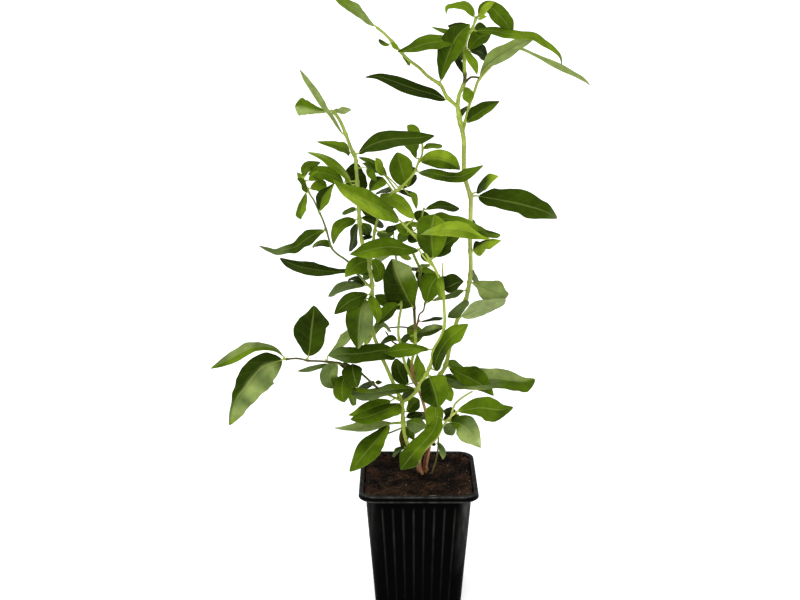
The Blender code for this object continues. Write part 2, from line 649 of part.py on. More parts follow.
def make_leaf(name, stem, record, group):
    """A leaf: a thick folded blade, with the stalk that roots it in the middle of its stem."""
    root, points, width, tilt, turned = leaf_frame(stem, *record)
    rows = leaf_rows((points[2] - points[0]).length)
    choice = blade_turn(points, tilt, turned)
    shape = bmesh.new()
    bmesh.ops.create_grid(shape, x_segments=2, y_segments=rows + 1, size=1.0)
    for vert in shape.verts:
        side = vert.co.x
        row = round((vert.co.y + 1) / 2 * (rows + 1)) - 1
        share = max(row, 0) / rows
        place = root if row < 0 else rib_point(points, share)
        along = rib_direction(points, share)
        if row < 1:
            stalk = (points[0] - root).normalized()
            along = stalk if row < 0 else (stalk + along).normalized()
        over, out = blade_sides(place, along, tilt, turned)[choice]
        half = max(width * blade_outline(share), STALK_WIDTH if row < 1 else TIP_WIDTH) / 2
        lift = FOLD if 0 < row else 0.0
        vert.co = (place + over * side * half * math.cos(lift) + out * abs(side) * half * math.sin(lift)) * MM
    bmesh.ops.triangulate(shape, faces=shape.faces)
    mesh = bpy.data.meshes.new(name)
    shape.to_mesh(mesh)
    shape.free()
    blade = add_object(name, mesh, group)
    thicken = blade.modifiers.new("thicken", "SOLIDIFY")
    thicken.thickness = BLADE_THICKNESS * MM
    thicken.offset = 0
    bpy.context.view_layer.update()
    solid = baked(blade)
    blade.modifiers.remove(thicken)
    shape = bmesh.new()
    shape.from_mesh(solid)
    bmesh.ops.recalc_face_normals(shape, faces=shape.faces)
    shape.to_mesh(solid)
    shape.free()
    blade.data = solid
    return blade


def make_cane(node, group):
    """One leafy cane: its stems and every leaf on them, fused into one body."""
    pieces = new_collection(node + "_pieces")
    base = None
    for stem, (owner, thick, thin, _) in STEMS.items():
        if owner != node:
            continue
        points = stem_points(stem)
        last = len(points) - 1
        radii = [thick + (thin - thick) * i / last for i in range(last + 1)]
        piece = tube(stem, points, radii, 1, group if base is None else pieces)
        if base is None:
            base = piece
        for number, record in enumerate(LEAVES.get(stem, ())):
            make_leaf(f"{stem}_leaf_{number}", stem, record, pieces)
    union(base, pieces)
    base.name = node
    base.data.materials.append(plain_material(node + "_green", GREEN, 0.45))


def main():
    clear_scene()
    group = new_collection("potted_blueberry_bush")
    cutters = new_collection("cutters")
    make_pot(group, cutters)
    make_soil(group, cutters)
    for node in FEET:
        make_cane(node, group)


if __name__ == "__main__":
    main()
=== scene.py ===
"""Potted blueberry bush: its glossy leaves, green and red-brown canes, peat and ribbed nursery pot.

Sizes are in millimetres. The origin is the middle of the pot's underside, +X runs to the
right, +Y away from the front and +Z up.
"""

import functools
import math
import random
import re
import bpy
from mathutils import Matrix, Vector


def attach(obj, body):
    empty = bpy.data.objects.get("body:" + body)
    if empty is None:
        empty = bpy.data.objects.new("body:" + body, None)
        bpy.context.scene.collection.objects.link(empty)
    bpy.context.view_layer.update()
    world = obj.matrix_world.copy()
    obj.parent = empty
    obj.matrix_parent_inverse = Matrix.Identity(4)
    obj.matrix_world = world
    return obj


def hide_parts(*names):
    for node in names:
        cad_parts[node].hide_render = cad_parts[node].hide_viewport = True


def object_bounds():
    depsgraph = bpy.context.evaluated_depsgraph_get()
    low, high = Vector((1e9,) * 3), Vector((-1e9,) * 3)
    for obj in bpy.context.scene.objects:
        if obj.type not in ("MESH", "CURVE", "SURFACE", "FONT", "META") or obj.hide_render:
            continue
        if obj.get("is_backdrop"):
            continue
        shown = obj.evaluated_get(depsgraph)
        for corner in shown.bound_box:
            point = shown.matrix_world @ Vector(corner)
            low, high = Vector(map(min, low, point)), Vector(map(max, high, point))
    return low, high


bl_info = {
    "name": "Potted blueberry bush",
    "version": (1, 0, 0),
    "blender": (4, 5, 0),
    "location": "View3D > Sidebar > Blueberry",
    "description": "Adds the leafy canes, the peat and the nursery pot of a young blueberry bush",
    "category": "Add Mesh",
}

from contextlib import contextmanager

import bmesh
import bpy
from bpy.props import FloatProperty, FloatVectorProperty, IntProperty, PointerProperty
from mathutils import Vector, noise

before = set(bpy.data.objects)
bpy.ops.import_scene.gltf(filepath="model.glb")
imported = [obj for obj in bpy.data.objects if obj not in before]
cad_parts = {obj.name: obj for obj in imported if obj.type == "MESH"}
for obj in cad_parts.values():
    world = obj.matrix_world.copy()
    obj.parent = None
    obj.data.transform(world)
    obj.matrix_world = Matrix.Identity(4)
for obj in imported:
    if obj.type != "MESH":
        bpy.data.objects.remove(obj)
CAD_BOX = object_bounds()

MM = 0.001
BODY = "root"

# The pot, a square 90 mm nursery pot
WALL_HEIGHT = 95.0
WALL_TOP_HALF = 39.4
BASE_HALF = 32.6
WALL = 1.2
FLOOR = 2.0
CORNER = 8.0
CORNER_STEPS = 10
RIBS_PER_SIDE = 8
RIB_PITCH = 7.9
RIB_TOP = 89.5
RIB_FOOT = 3.0
RIB_RISE = 1.5
RIB_FADE = 2.2
RIB_HALF_WIDTH = 1.4
DRAIN_RADIUS = 4.0
DRAIN_PLACE = 19.0

# Places across a rib, and half the length along a side that has places
RIB_COLUMNS = (-1.45, -1.15, -0.8, -0.4, 0.0, 0.4, 0.8, 1.15, 1.45)
SIDE_END = 30.6

# The pot's outline as (height, half width, corner radius): its foot, then from under the lip
# over the rim and down the inside
FOOT_RINGS = ((0.0, 31.7, 6.1), (0.12, 32.2, 6.5), (0.5, 32.5, 6.9))
WALL_HEIGHTS = (1.0, RIB_FOOT, 3.7, 4.5, 12, 30, 50, 70, 84, 87.3, 88.4, RIB_TOP, 91.5, 93.5)
RIM_RINGS = (
    (95.0, 39.5, 8.0), (94.95, 40.2, 8.3), (95.0, 43.8, 11.8), (95.2, 44.6, 12.6), (95.65, 45.1, 13.0),
    (96.2, 45.05, 13.0), (96.7, 44.65, 12.8), (97.4, 44.5, 12.7), (98.7, 44.6, 12.7), (99.4, 44.55, 12.7),
    (99.8, 44.25, 12.4), (100.0, 43.6, 12.0), (100.0, 42.5, 11.4), (99.85, 41.95, 11.0), (99.4, 41.6, 10.8),
    (98.6, 41.3, 10.4), (97.0, 39.7, 9.0), (96.0, 38.6, 7.9))
RIM_RINGS_INSIDE = 2
INNER_HEIGHTS = (94.0, 80.0, 40.0, 2.8)

# How far the ribs stand out low on the wall, and the heights between which they gain the rest
LOW_RIBS = 0.35
LOW_RIB_HEIGHTS = (8, 78)

# Heights of the rim's edges, which carry a painted highlight, and how strong the painted highlight
# is on the rim, on the corners that face right or left, and on the ribs. A corner's painted
# highlight lies in a band beside it, stronger and stronger between two heights.
RIM_HIGHLIGHT_HEIGHTS = (95.7, 99.6)
RIM_HIGHLIGHT = 0.85
CORNER_HIGHLIGHTS = (0.8, 0.2)
CORNER_BAND = 11
CORNER_HIGHLIGHT_HEIGHTS = (25, 90)
RIB_HIGHLIGHT = 0.28

# The soil. The canes are measured from its level round them, and its loose bed lies higher.
SOIL_TOP = 91.0
BED_TOP = 96.4
BED_EDGE = 98.1
BED_HALF = 40.3
BED_CORNER = 10.4
BED_ROWS = 52
BED_SIDE_STEPS = 30
BED_CORNER_STEPS = 6
BLOCK_TOP = 95.6
SOIL_WAVE = 0.55
HEAP = 0.8
HEAP_PLACE = (5, 8)
HEAP_SPREAD = 160
BACK_RISE = 0.8
EDGE_BAND = (30, 39)
FIT_GAP = 0.3
CANE_DEPTH = 12.0

# Leaves and their stalks
BLADE_SHARE = 0.37
WIDEST = 0.45
FOLD = math.radians(14)
EDGE_LIFT = 0.12
EDGE_WAVE = 0.05
ARCH_SHARE = 0.07
STALK_LEAST = 3.2
MOST_TILT = math.radians(52)
SOFT_EDGE = 0.5
BLADE_HALF_THICKNESS = 0.16
QUILT = 0.22
UNDER_PALE = 0.75
TIP_SLIM = 0.2
NEAR = 0.02

# The spacing of points along a stem, along a leaf's rib and from row to row of its blade
STEM_STEP = 1.1
RIB_STEP = 0.8
ROW_LENGTH = 1.7
LEAST_ROWS = 9

# How far a stem swells at the foot of a leaf, and for what length
SWELL = 0.3
SWELL_REACH = 1.5
MOST_SWELL = 1.2

# The thickness of stalks and raised ribs, how much of it they lose on their way, how far a
# stalk sags, and where on the blade the raised rib ends
STALK_RADIUS = 0.72
STALK_TAPER = 0.14
STALK_SAG = 0.25
RIB_RADIUS = 0.56
RIB_TAPER = 0.46
RIB_END = 0.97

# Buds: the size of one at a stem's end, the sizes of those beside it, the shortest leaf that
# has one, and the stem whose end has none
END_BUD = 1.25
SIDE_BUD = (0.7, 1.1)
BUD_LEAF_LENGTH = 14
BUDLESS = "stub"

# The columns of points across a blade, from its left edge to its right
CROSS = (-1.0, -0.955, -0.78, -0.52, -0.27, -0.08, 0.0, 0.08, 0.27, 0.52, 0.78, 0.955, 1.0)

# Readings across and up are taken on the upright plane through the pot's middle, as seen
# from this point. A thing that stands nearer or farther lies on the same line of sight.
VIEWPOINT = Vector((-14.0, -900.0, 490.0))
READING_SHIFT = (-0.05, -0.25)
VIEW_DOWN = math.radians(15.6)
LENS = 56.61
SENSOR_WIDTH = 36.0

# The radius of the floor in metres
FLOOR_RADIUS = 14.0

# The brightness of the studio's walls, and its broad lamps as (name, the side that each shines
# from, its width in degrees, strength)
SKY = 0.68
LAMPS = (
    ("key_lamp", (-0.7, -1.6, 1.5), 60, 1.3),
    ("top_lamp", (0.2, -0.5, 2.0), 100, 0.85))

# The greens of the leaves from dark to pale, then the browns and reds of bark. The greens hold
# painted light and shade as well as the leaves' own colour: the darkest partly stand for painted
# shade, the pale, whitish and grey-green ones (p, w, g) for undersides and for painted sheen, and
# the bright yellow-greens (y, z) for young leaves and for painted backlit glow.
PALETTE = {
    "k": (0.015, 0.029, 0.0017),
    "d": (0.029, 0.054, 0.0022),
    "m": (0.062, 0.110, 0.0034),
    "b": (0.116, 0.189, 0.0069),
    "y": (0.215, 0.310, 0.017),
    "p": (0.215, 0.280, 0.077),
    "w": (0.413, 0.482, 0.275),
    "z": (0.330, 0.470, 0.025),
    "g": (0.099, 0.142, 0.039),
    "o": (0.129, 0.172, 0.015),
    "n": (0.065, 0.062, 0.010),
    "l": (0.327, 0.404, 0.069),
    "v": (0.270, 0.340, 0.070),
    "c": (0.420, 0.460, 0.130),
    "x": (0.073, 0.073, 0.022),
    "u": (0.172, 0.069, 0.030),
    "t": (0.396, 0.172, 0.052),
    "r": (0.224, 0.060, 0.019),
    "e": (0.52, 0.27, 0.15),
    "a": (0.17, 0.14, 0.05),
    "q": (0.36, 0.20, 0.075),
    "h": (0.075, 0.022, 0.012),
}

# The woody knuckle where the canes meet, as lines of across,depth,height,radius, and the
# spacing of points along them
CROWN_STEP = 0.8
CROWN = (
    "-0.6,9.4,92,1.1 0.8,8.8,95.2,1.5 2.2,7.8,97.6,1.4 3,7.2,98.8,0.7",
    "7.6,12.6,92,1.2 6.8,11,95.4,1.5 5.6,9.4,97.6,1.3 4.8,8.6,98.8,0.7",
    "3,1,92,0.9 3.2,3.4,95.6,1.2 3.6,5.6,97.4,1.1 3.9,7,98.2,0.7",
    "9.4,4,92,0.7 7.6,5.8,95.6,0.9 5.8,7.2,97.2,0.9 4.8,7.8,97.8,0.6")

# Where each cane stands in the soil
FEET = {
    "left_cane": (0.6, 9.0),
    "middle_cane": (5.6, 9.4),
    "tall_cane": (7.6, 14.0),
    "right_shoot": (3.8, 4.4),
    "small_shoot": (10.8, 6.6),
}

# Every stem: the cane that it belongs to, its radius at either end, the colours of its bark by
# height, and its route as across,up,depth. The first stem of a cane rises from its foot.
STEMS = {
    "left": ("left_cane", 1.5, 1.2, "92,h 98,r 102,e 109,e 118,l 158,l 200,v 380,v", """
        0.6,103,8 -1.6,109,6.5 -5,116,3.5 -8,124,0.5 -10.5,132,-2.5 -11.5,141,-5.5 -12,150,-7 -12.5,159,-8.5
        -16,166.5,-10 -20,176,-11.5 -24,186,-11.5 -27.5,194,-11.5 -31,204,-13 -34,213,-14.5 -36,226,-16
        -35.5,238,-16 -34.5,247,-16 -35,255,-16 -36.3,262.5,-14.5 -38.5,271,-13 -41.5,282,-11.5 -43,292,-10
        -44,308,-8.5 -44.5,322,-7 -45.5,338,-5.5 -46,345,-4 -49,352,-2.5 -52,360,-1 -55,368,0.5 -58,374,0.5
        -61.5,378.5,2"""),
    "side": ("left_cane", 0.9, 0.6, "245,v 262,g 305,g 330,l", """
        -35,248,-16 -39,252,-19 -43,256.5,-22 -47,260.5,-26.5 -51,267,-29.5 -55,270.5,-32.5 -60,274,-34
        -64,278.5,-35.5 -66,285,-35.5 -67.5,291,-34 -70,299,-32.5 -73,306,-31 -76.5,314,-29.5 -80,320,-28
        -84,330,-26.5"""),
    "inner": ("left_cane", 1.2, 0.7, "262,l 356,l", """
        -36.3,262.5,-14.5 -35.5,270,-11.5 -33.5,284,-7 -31.5,296,-2.5 -27,308,2 -20.5,318,6.5 -15,322,8
        -10,327,9.5 -4,334,11 -1,341,12.5 2,348,14 2,356,15.5"""),
    "slim": ("left_cane", 1.4, 0.8, "158,l 210,l 298,l", """
        -12.5,159,-8.5 -8.5,160.5,-11.5 -5,163.5,-14.5 -1,168,-16 1.5,174,-17.5 5,179,-17.5 8,185.5,-19
        10,192,-19 11.8,200,-20.5 14.5,206,-22 17.8,213,-22 19.4,222,-23.5 19,231,-23.5 18.5,240,-23.5
        17.8,249,-23.5 14.5,257,-22 11.5,263.5,-22 8.5,268.5,-20.5 4.5,275.5,-20.5 1,282.5,-19 -3,287.5,-19
        -8,292.5,-17.5 -12.5,297.5,-16"""),
    "stub": ("left_cane", 0.7, 0.6, "249,l 267,c", """
        17.8,249,-23.5 17.6,258,-25 17.3,267,-26.5"""),
    "twin": ("left_cane", 0.7, 0.6, "263,l 277,l", """
        12,263,-22 8,267,-24 4,271.5,-25 0,277,-25"""),
    "tuft": ("left_cane", 0.8, 0.6, "268,l 307,v", """
        8.5,268.5,-20.5 6,280,-10 3,292,-1 2,300,3.5 3,307,6.5"""),
    "low": ("left_cane", 0.95, 0.7, "158,l 170,x 186,x 194,x", """
        -12.5,159,-8.5 -17,161.5,-13 -22,164,-17.5 -28,167.5,-22 -35,173.5,-25 -40,178.5,-26.5 -45,183,-28
        -52,187,-29.5 -61,189.8,-31 -68,190.6,-31 -75,191.2,-31 -83,191.5,-31 -88,192.8,-31 -93,193.3,-31
        -100,192.6,-31"""),
    "dark_twig": ("left_cane", 0.8, 0.6, "132,x 138,v", """
        -11.2,138,-4 -17,135.5,0.5 -24,132.5,6.5"""),
    "brown": ("middle_cane", 1.2, 1.05, """
        92,h 100,r 110,u 125,u 150,q 185,q 193,l 212,l 217,a 228,n 240,x 247,x 275,l""", """
        4.4,101,9.5 4.8,107,8 5.6,113,6.5 7,119,5 8,125,3.5 7.8,135,2 6.5,145,0.5 5,153,-1 3,160,-1 1,166,-1
        -1.5,172,-1 -3.5,179,0.5 -5,186,0.5 -4.8,192,2 -3,200,2 -2.3,210,3.5 -2.8,220,5 -3.3,230,6.5
        -3.4,238,8 -1.8,247,11 0.2,255,14 1,262,17 -1.5,268,21.5 -4.5,275,26"""),
    "behind": ("middle_cane", 1.2, 0.7, "172,a 180,l 230,v 284,v", """
        -1.5,172,-1 -4.5,176.5,-5.5 -8,184,-10 -11,192,-14.5 -13.5,204,-17.5 -15.2,213,-17.5 -14.6,224,-14.5
        -13.2,233,-7 -13.5,245,3.5 -15,258,11 -17,272,17 -18.5,284,21.5"""),
    "fork": ("middle_cane", 0.7, 0.6, "217,u 237,x", """
        -2.7,217,5 -0.8,221,5 0.4,227.5,3.5 3.5,231,0.5 4.6,237,-1"""),
    "bent_twig": ("middle_cane", 0.65, 0.6, "203,x 214,x", """
        -13.3,203,-17.5 -19.5,206.5,-8.5 -24,213.5,-1"""),
    "cross_twig": ("middle_cane", 0.65, 0.6, "216,x 218,x", """
        -2.8,216.5,5 -12,218,15.5 -21,217.5,23"""),
    "tall": ("tall_cane", 1.45, 1.7, "92,h 98,r 102,e 118,e 128,l 160,l 220,v 310,c 382,l", """
        6,105,16 6.9,112,15.5 8.2,120,15.5 9.6,130,15.5 10,140,16 10.5,150,17 11.5,160,18.5 13,170,20
        15.5,179,21.5 19,184.5,23 21.5,192,23 23,200,24.5 25,210,24.5 27.5,219,26 29.5,225.5,26 33,233.5,26
        35.3,240.5,26 36.5,247,26 37.7,255,26 38.2,265,26 37.8,275,24.5 37.4,286,23 37.5,300,21.5
        37.5,310,20 37.4,317,20 36,321,18.5 33.5,329,17 32.3,336,17 32,346,15.5 32,356,14 31,363,14
        29,371,12.5 27,382,11"""),
    "arm": ("tall_cane", 1.35, 0.95, "382,l 437,v", """
        27,382,11 24,384.5,9.5 19,389.5,8 15,397,6.5 10,400.5,5 5,404,3.5 0,409,2 -8,415,0.5 -14,421,-1
        -20,428,-2.5 -25,433,-4 -30,437,-4"""),
    "crest": ("tall_cane", 1.5, 0.8, "382,l 397,v 400,x 404,x 408,l 443,l", """
        27,382,11 28,390,9.5 31,397,8 32,402,6.5 31.6,410,5 31.6,420,3.5 33,430,2 36.5,436,0.5 39,443,-1"""),
    "spray": ("tall_cane", 1.25, 0.9, "364,l 419,c", """
        31,364,14 34,377,17 36,385,20 39,393,23 42,401,26 50,410,30.5 58,419,35"""),
    "link": ("tall_cane", 0.85, 0.75, "390,x 401,n 410,v", """
        31.5,398,8 36,402.5,15 41.5,402.5,25"""),
    "right": ("right_shoot", 1.1, 0.75, "92,h 97,t 101,e 107,e 113,c 149,c", """
        3.2,99,2 2,104,0 1.4,109.5,-4 2.4,114.5,-8.5 5,119,-13 9,123.5,-17.5 13,127.5,-20.5 16,132.5,-23.5
        18.5,138,-25 22.5,144,-26.5 27.5,149.5,-28"""),
    "right_twig": ("right_shoot", 0.9, 0.7, "147,c 166,v", """
        25,147,-27 26.5,153,-26.5 28,157,-25 31.5,160.5,-23.5 36,164,-22 40,166.5,-22"""),
    "small": ("small_shoot", 0.8, 0.6, "92,h 97,a 118,a 126,o 133,v", """
        11,101,5 12.2,105,4 13.6,110,3 14.7,116,1 15.3,122,0 15.5,128,-2 16,133,-3"""),
}

# The leaves of each stem, a row for each: how much farther its tip lies than its base, its
# colours, "under" if its underside is turned to the front, then the rib from base to tip as
# across,up and the widths. A plain leaf has one width, the whole that shows, and may have a
# middle point. A leaf that is measured in full has the half widths that show on its left and
# right, or one number for both, at even steps as seen when going from base to tip. The colours
# are letters of the palette, one or left and right, with a slash between steps to the tip. They
# are painted light and shade as well as the leaves' own colour: a leaf or half in shade has a
# darker green, and one that catches a sheen or glows against the light has a paler one.
LEAVES = {
    "left": """
    -6 p: -54.5,361.5 -58.8,368.5 -63,375.5 -67.3,381 -71.4,387.5 -75.4,394 -80,400.5 -85,408.3 | 0.6 0.8 1
        2 2.1,2.2 1.6 1;
    13 pm: -63,378.7 -70,378.8 -77,380 -83,381.5 -89,382.3 | 0.9,1.1 1.8,2.3 3.4,3.8 4.9,5 5.2,5.4;
    27 p: -61.5,379 -57,378.8 -53.5,380 -50.3,381 | 1.6,1.8 1.8,2.2 1.6;
    -19 mb: -49.5,348.5 -54,352.5 -60,354.5 -66,355.8 -74,357 | 3.4,3 4.4,2.2 3.2,1.6 1.4,0.8;
    -8 d: -43.8,348.5 -38,352.8 -30,356.3 -20,358.6 -10,359.3 0,359.8 11,361.3 | 3.6,2.6 5.8,4.8 6.2,5.6
        5.4,5.2 4.2,4.6 2.6,3;
    22 k: -45.5,342.5 -46,335 -45.5,328 -44.5,318 | 5.5,7.5 7,7.6 6.5,6;
    8 bp/b/bp: -48.5,325.5 -53,332 -59,338 -66,343.5 -73,347.2 -81,349.4 | 1.6,1.4 2.4,2.8 2.8 2 1.1,1;
    -16 m: -55,327.5 -61,331.5 -69,334.3 -75,334.3 -80.5,333 | 3,2.8 4.8,4.2 5,4.4 4,3.6;
    19 m: -46,306.8 -50,306.5 -55.5,306 | 2 1.8,1.6;
    -13 d/m/b/g: -45.5,300 -51,298.8 -57,296.2 -60.5,291.5 -62,286.5 -63,281 | 2.6,2.4 3.4,3.2 3.6,4.2 2.8
        1.4,1.6;
    28 d/k: -42,301 -36,299.5 -31,298.2 -26,296.5 | 2.4 2.9,3.2 2.2,2;
    23 k: -45,297 -47,290 -48.5,284 -51.5,276 | 2.2,3 3,2.8 1.8,1.4;
    23 d: -42,284 -35,288.5 | 4;
    -27 m/m/b: -38,269 -44,267 -49.5,263 -54.5,256.5 | 7,3.8 7.2,5.2 4.4,3.8;
    8 m: -34.4,270 -30.8,264 -29.7,258.4 -32.2,252.3 | 4.8,3 5,3.6 3.2;
    18 dk/dk/dk/k: -41,262 -56,261.2 -66,261 -76,262 -86,264 -94,266.7 -102.5,271.2 | 1 1.4,1.2 2.6 3.8
        4.2,4.8 3.8,4.2 2.4;
    23 k: -40,250 -45,254.5 -51,256 | 2.5,1.5 2.5,2;
    22 g: -39.5,250.3 -46,250.3 -53,249.8 -60,247.8 -67.5,241.8 | 2.6,2.4 3.1,2.9 3,2.9 2;
    -10 d: -37,243.5 -43,241.8 -50,238.8 -56,234.5 -63,227.8 | 2.8,3.2 4.6,5 4.8,5.2 2.8,3;
    -20 bm/pm/gd/gd/pd: -40,240 -43,230 -44.5,220 -45,210 -45.5,200.5 | 7 8.8,9.6 9.5,9.6 8.4,7.4 4.2,4.6;
    -20 bm/b/m: -35,243 -33,236 -31.5,229 -30.5,221 | 2.5,3.5 3.5 3,2.5;
    27 p: -32,213 -27,218.5 -20,213.5 | 5;
    -5 b/bm/b: -21,159.5 -30,155.5 -40,151.5 -47,149 -53.5,147.8 | 3,4.2 3.4,6 3,5.2 2,2.6;
    -22 mm/bd/md/m/m: -13.5,157.5 -22,153.5 -31,149.5 -41,146 -52,144.3 | 6,2.6 8.6,4 7.4,4.4 5.8,4.2 3.4,3;
    -5 p/p/p/p/w: -20,141.5 -30,140.8 -40,138.9 -50,137.5 -58,137.2 -65,137.4 | 1.4,1.6 3,3.2 3.6,3.8
        3.2,3.6 1.8,2.4 0.8,1;
    -32 yd/bd/md/mm/mm: -22.5,140.5 -30,129.5 -38,120 -45,111 -53,101.3 | 2.9,3 4.4,6.2 6.6,8 8,7.8 7.4,6.2
        4.4,3.4;
    17 dn: -11,139.5 -10.8,133 -10,128 -9,122.5 | 2.8,4 3.2,5 2,3.2;
    -25 m/mg/g: -9.5,142.3 -4,141.8 1,140.5 6.5,138.8 | 1.8,4.6 3.4,8 3.6,8.4;
    19 md: -9,150.5 -6,154.5 -3,157.8 0.8,160.8 | 2.2,4.4 4.2,5.6 3.4,3.8;
    13 k: -9.5,145.5 -4,147.5 3,149.5 | 2.6 2.2;
    11 kk/gd/gg: -10,121.3 -14,119.6 -17,117.6 -19.8,115.3 | 1,1.4 1.9,2 1.6,1.9;
    34 d: -43.5,318 -38,308 | 10;
    34 m: -35,258 -44,262 | 8;
    36 d: -35.5,232 -43,222 | 12;
    30 m: -12,152 -30,151 | 9;
    8 md: -9.5,140 -3,127 | 7;
    20 m/g: -42,298 -36,287 | 10;
    20 m: -36,266 -41,254 | 8;
    14 p/y: -34,215 -41,204 | 6;
    14 d: -43,308 -33,303 | 6;
    -12 m: -38,338 -31,328 | 6""",
    "side": """
    -19 bm/bm: -82.5,319.5 -83.7,315 -85.3,309.5 -86.2,304.5 -86.3,300 | 0.8,1 1.6 2.4 3,2.9 2.6;
    -10 kb: -72.5,305 -71.5,311 -69.5,316.5 -66,321.5 -61.3,327 | 2.6,2.4 4.6,4.4 4 1.4,1.6;
    15 m: -82.5,331 -82.8,335.5 -80.5,339.3 -76,340.8 -71,342.2 | 2.6 3,4.2 2.2,3 1,1.4;
    -15 m: -80.5,321.5 -83.5,324.5 -85.5,328 -88.5,330.2 | 1.8 2.2,2 1.4,1.2;
    15 b: -79.5,322.3 -75.5,324.5 -72,325.5 -67.5,328 | 2.6,3.2 3.4,5.4 2.8,4.8;
    8 m/d/d/d/g/g/g: -66.8,292.2 -73,290.8 -80,287 -86,282.8 -91,279.3 -98,277.5 -105,276 -111,277.6
        -118,280.5 | 2.4,2.2 4.6 3.6,4.4 4,3.6 2.6,2.9 2.2 1.2 0.6,0.7;
    23 d/b: -64.5,279 -69,281.6 -73.5,282 -78,280.8 | 2.2 2.6,2.4 1.6,1.2;
    10 b: -80.5,328.6 -77,331.2 -73.5,332.8 -69.5,334 | 2,2.4 2.8,3.4 2.2,2.6;
    8 b: -82.5,327 -88.5,335 | 5""",
    "inner": """
    13 m: -23.5,332 -28,337 -33,341 -38,344 -44,345.8 | 2.6,2.2 2.6,2.4 2,1.8 1,0.9;
    -19 b/y: -25.5,333.5 -28,338 -30,342 -31.5,345.2 | 2.2,1.6 4.2,2.6 3.2,2;
    -23 bd: -26.5,331 -31.5,326 -36,321 | 4.4,4 4.6,4.4 3,2.8;
    15 mb: -8.5,324 -11,331 -13,338 -14.8,344 -16,349.5 | 6.5,5.5 8.6,7.6 8 4.6,5;
    27 m: -2.5,345 -4.2,350 -5.5,355 -7,359.5 | 2 5,4.4 5.2;
    11 b: 1,357 -2,362 -5,366 -9,368.8 | 2.5 3.5 2.8,2.2;
    19 mb: 2.5,351.5 7,353.3 11.5,354 16.5,354.5 | 2,1.6 1.8 1.2;
    -13 bm/ym/ym/bd/md: 0,342 7,344.3 14,344.4 21,342.5 26,339.5 29.5,336.5 | 3.6 5.6 6.6,6.4 6,5.4 3.6,3.2;
    -18 g/m/d/m/b: -0.5,334.8 7,334.3 15,332.6 23,331.5 31,332 38,335.3 46.5,340 | 2.6,2 3.6,3.2 3,3.6
        2.6,3.8 3.6,3.4 1.8,2;
    30 d: -20.5,320.5 -24,321.2 -28,321.8 | 2.2,1.6 3,2.4;
    27 k/d: -15,320.5 -10,319.6 -6,319 -1.5,318.6 | 1.8 2,2.2 1.4,1.2;
    -15 b: -8,319 -4.5,318 -3,313 -2,307.5 | 1.6,2.4 2,2.4 1.2,1.4;
    36 m: -29,305 -20,312 | 9;
    32 d: -5,333 -12,341 | 9;
    -14 gm: -27,335 -41.5,341.5 | 6;
    24 d: -12,322.5 -2,333.5 | 8;
    14 b: -26,309 -36,303 | 7;
    18 d: -24,290 -16,296 | 6""",
    "slim": """
    -28 bm/bm/yb/yb/b: -14.5,299.5 -21,304.5 -28,308.4 -35,311.7 -42,315.2 -49,318.8 -56,323.4 -62,329 |
        3.4,3.6 5,5.2 6.4,6.6 7,7.2 6.4 4.6,4.8 2.8;
    27 y/b/b: -3.5,300.5 -8,306 -13,311.5 -20,316 -28,319 | 4.6,2.4 6.8,3.8 7,4.2 4.6,2.6;
    -20 d/m/m/bm/m: -0.5,277.2 -9,277.8 -18,279.2 -27,279 -36,277 -44,275 -51,273.8 | 2.4 4.2,4.4 5.8,6.6
        6.6 5.4,5.6 3.2,3;
    4 dm/db/mb/mb: 10.5,270 9.8,278 9.2,286 9.5,295 11,304 | 5,5.4 8.4,8.2 9.8,10 10,11 10,10.6 8.6;
    -14 p/y/y/yb/y: 0,289.5 12,291.3 24,293 36,291 46,286.8 53,285.2 | 1.5,1.1 3.6,2.3 5.2,4.3 5.3,5.4
        4.6,4.9 2,3.6 0.7,1.2;
    21 d/d/m: 12.5,272 16,277 20,281.5 25,285 30.5,287.8 | 4,4.5 6 5,3.6 4,2.4 2,1.4;
    -17 b/by/m: 14.5,242 16,247 17,252 17.5,257.5 | 2.5,2 3.6,2.2 2.4,1.6;
    -28 k: 18.5,247.5 23,249.3 28,252 33.2,253.2 | 10.5,3.6 9.5,3.8 6,3;
    -10 d/d/d/m/b/b: 12,184 13.5,192 16.7,200 21.4,207 27.4,213 37.2,220.5 | 3.8,3.6 5.2,4.2 5.2,4.8 5.8,5.2
        4.2,5.6;
    -26 bd/bk/mk/md: 8,179 11,171 13.5,163 15,153.5 | 9.8,7 10.6,9.2 9.4,10.2 6.6,8.6;
    -5 m/b: 14,177 19,172 23,166.5 25,158.5 | 2.4,5 3,6 2.6,5.5;
    -11 m/bm/m/d: 8,200.5 0,201 -8,200.5 -17,199.3 -26,198 | 1.6,2 3.8,3.6 5,4.6 4.4,3.6;
    23 kk/dp/dg/d: 19,218 12,216.3 5,214.5 -1,213 | 3.4,2.6 3.6 2.8;
    -11 d/dm/g/gb/gb: -2.5,169.8 -12,169.2 -22,168 -32,166.3 -43,166 -55,168.8 | 2,3 2.6,4 3.6,3 5.4,2.6
        3.8,2.6;
    38 d: 3,279 12,288 | 12;
    24 y: -1,294 -10,299 | 6;
    12 m/b: -3,290 -18,296 | 10;
    20 d: -0.5,283 -9,290 | 9;
    18 d: 9,267 1,275.5 | 6;
    18 d: -2,169 -14,161 | 8;
    16 m: -8,291 -16,283 | 8""",
    "tuft": """
    19 d: 4,307.2 12,309.6 20,309.6 29.5,308.2 | 2.4,1.6 3.6,2.8 2.6,2.2;
    1 d/m/b/m: 5,299 16,300.5 28,299 40,295 50,291.5 | 4.2,3 2.8,3 2.8,3 1.8,2;
    12 d: 2,297 1.5,302 2,307 | 4.5,5 4.5""",
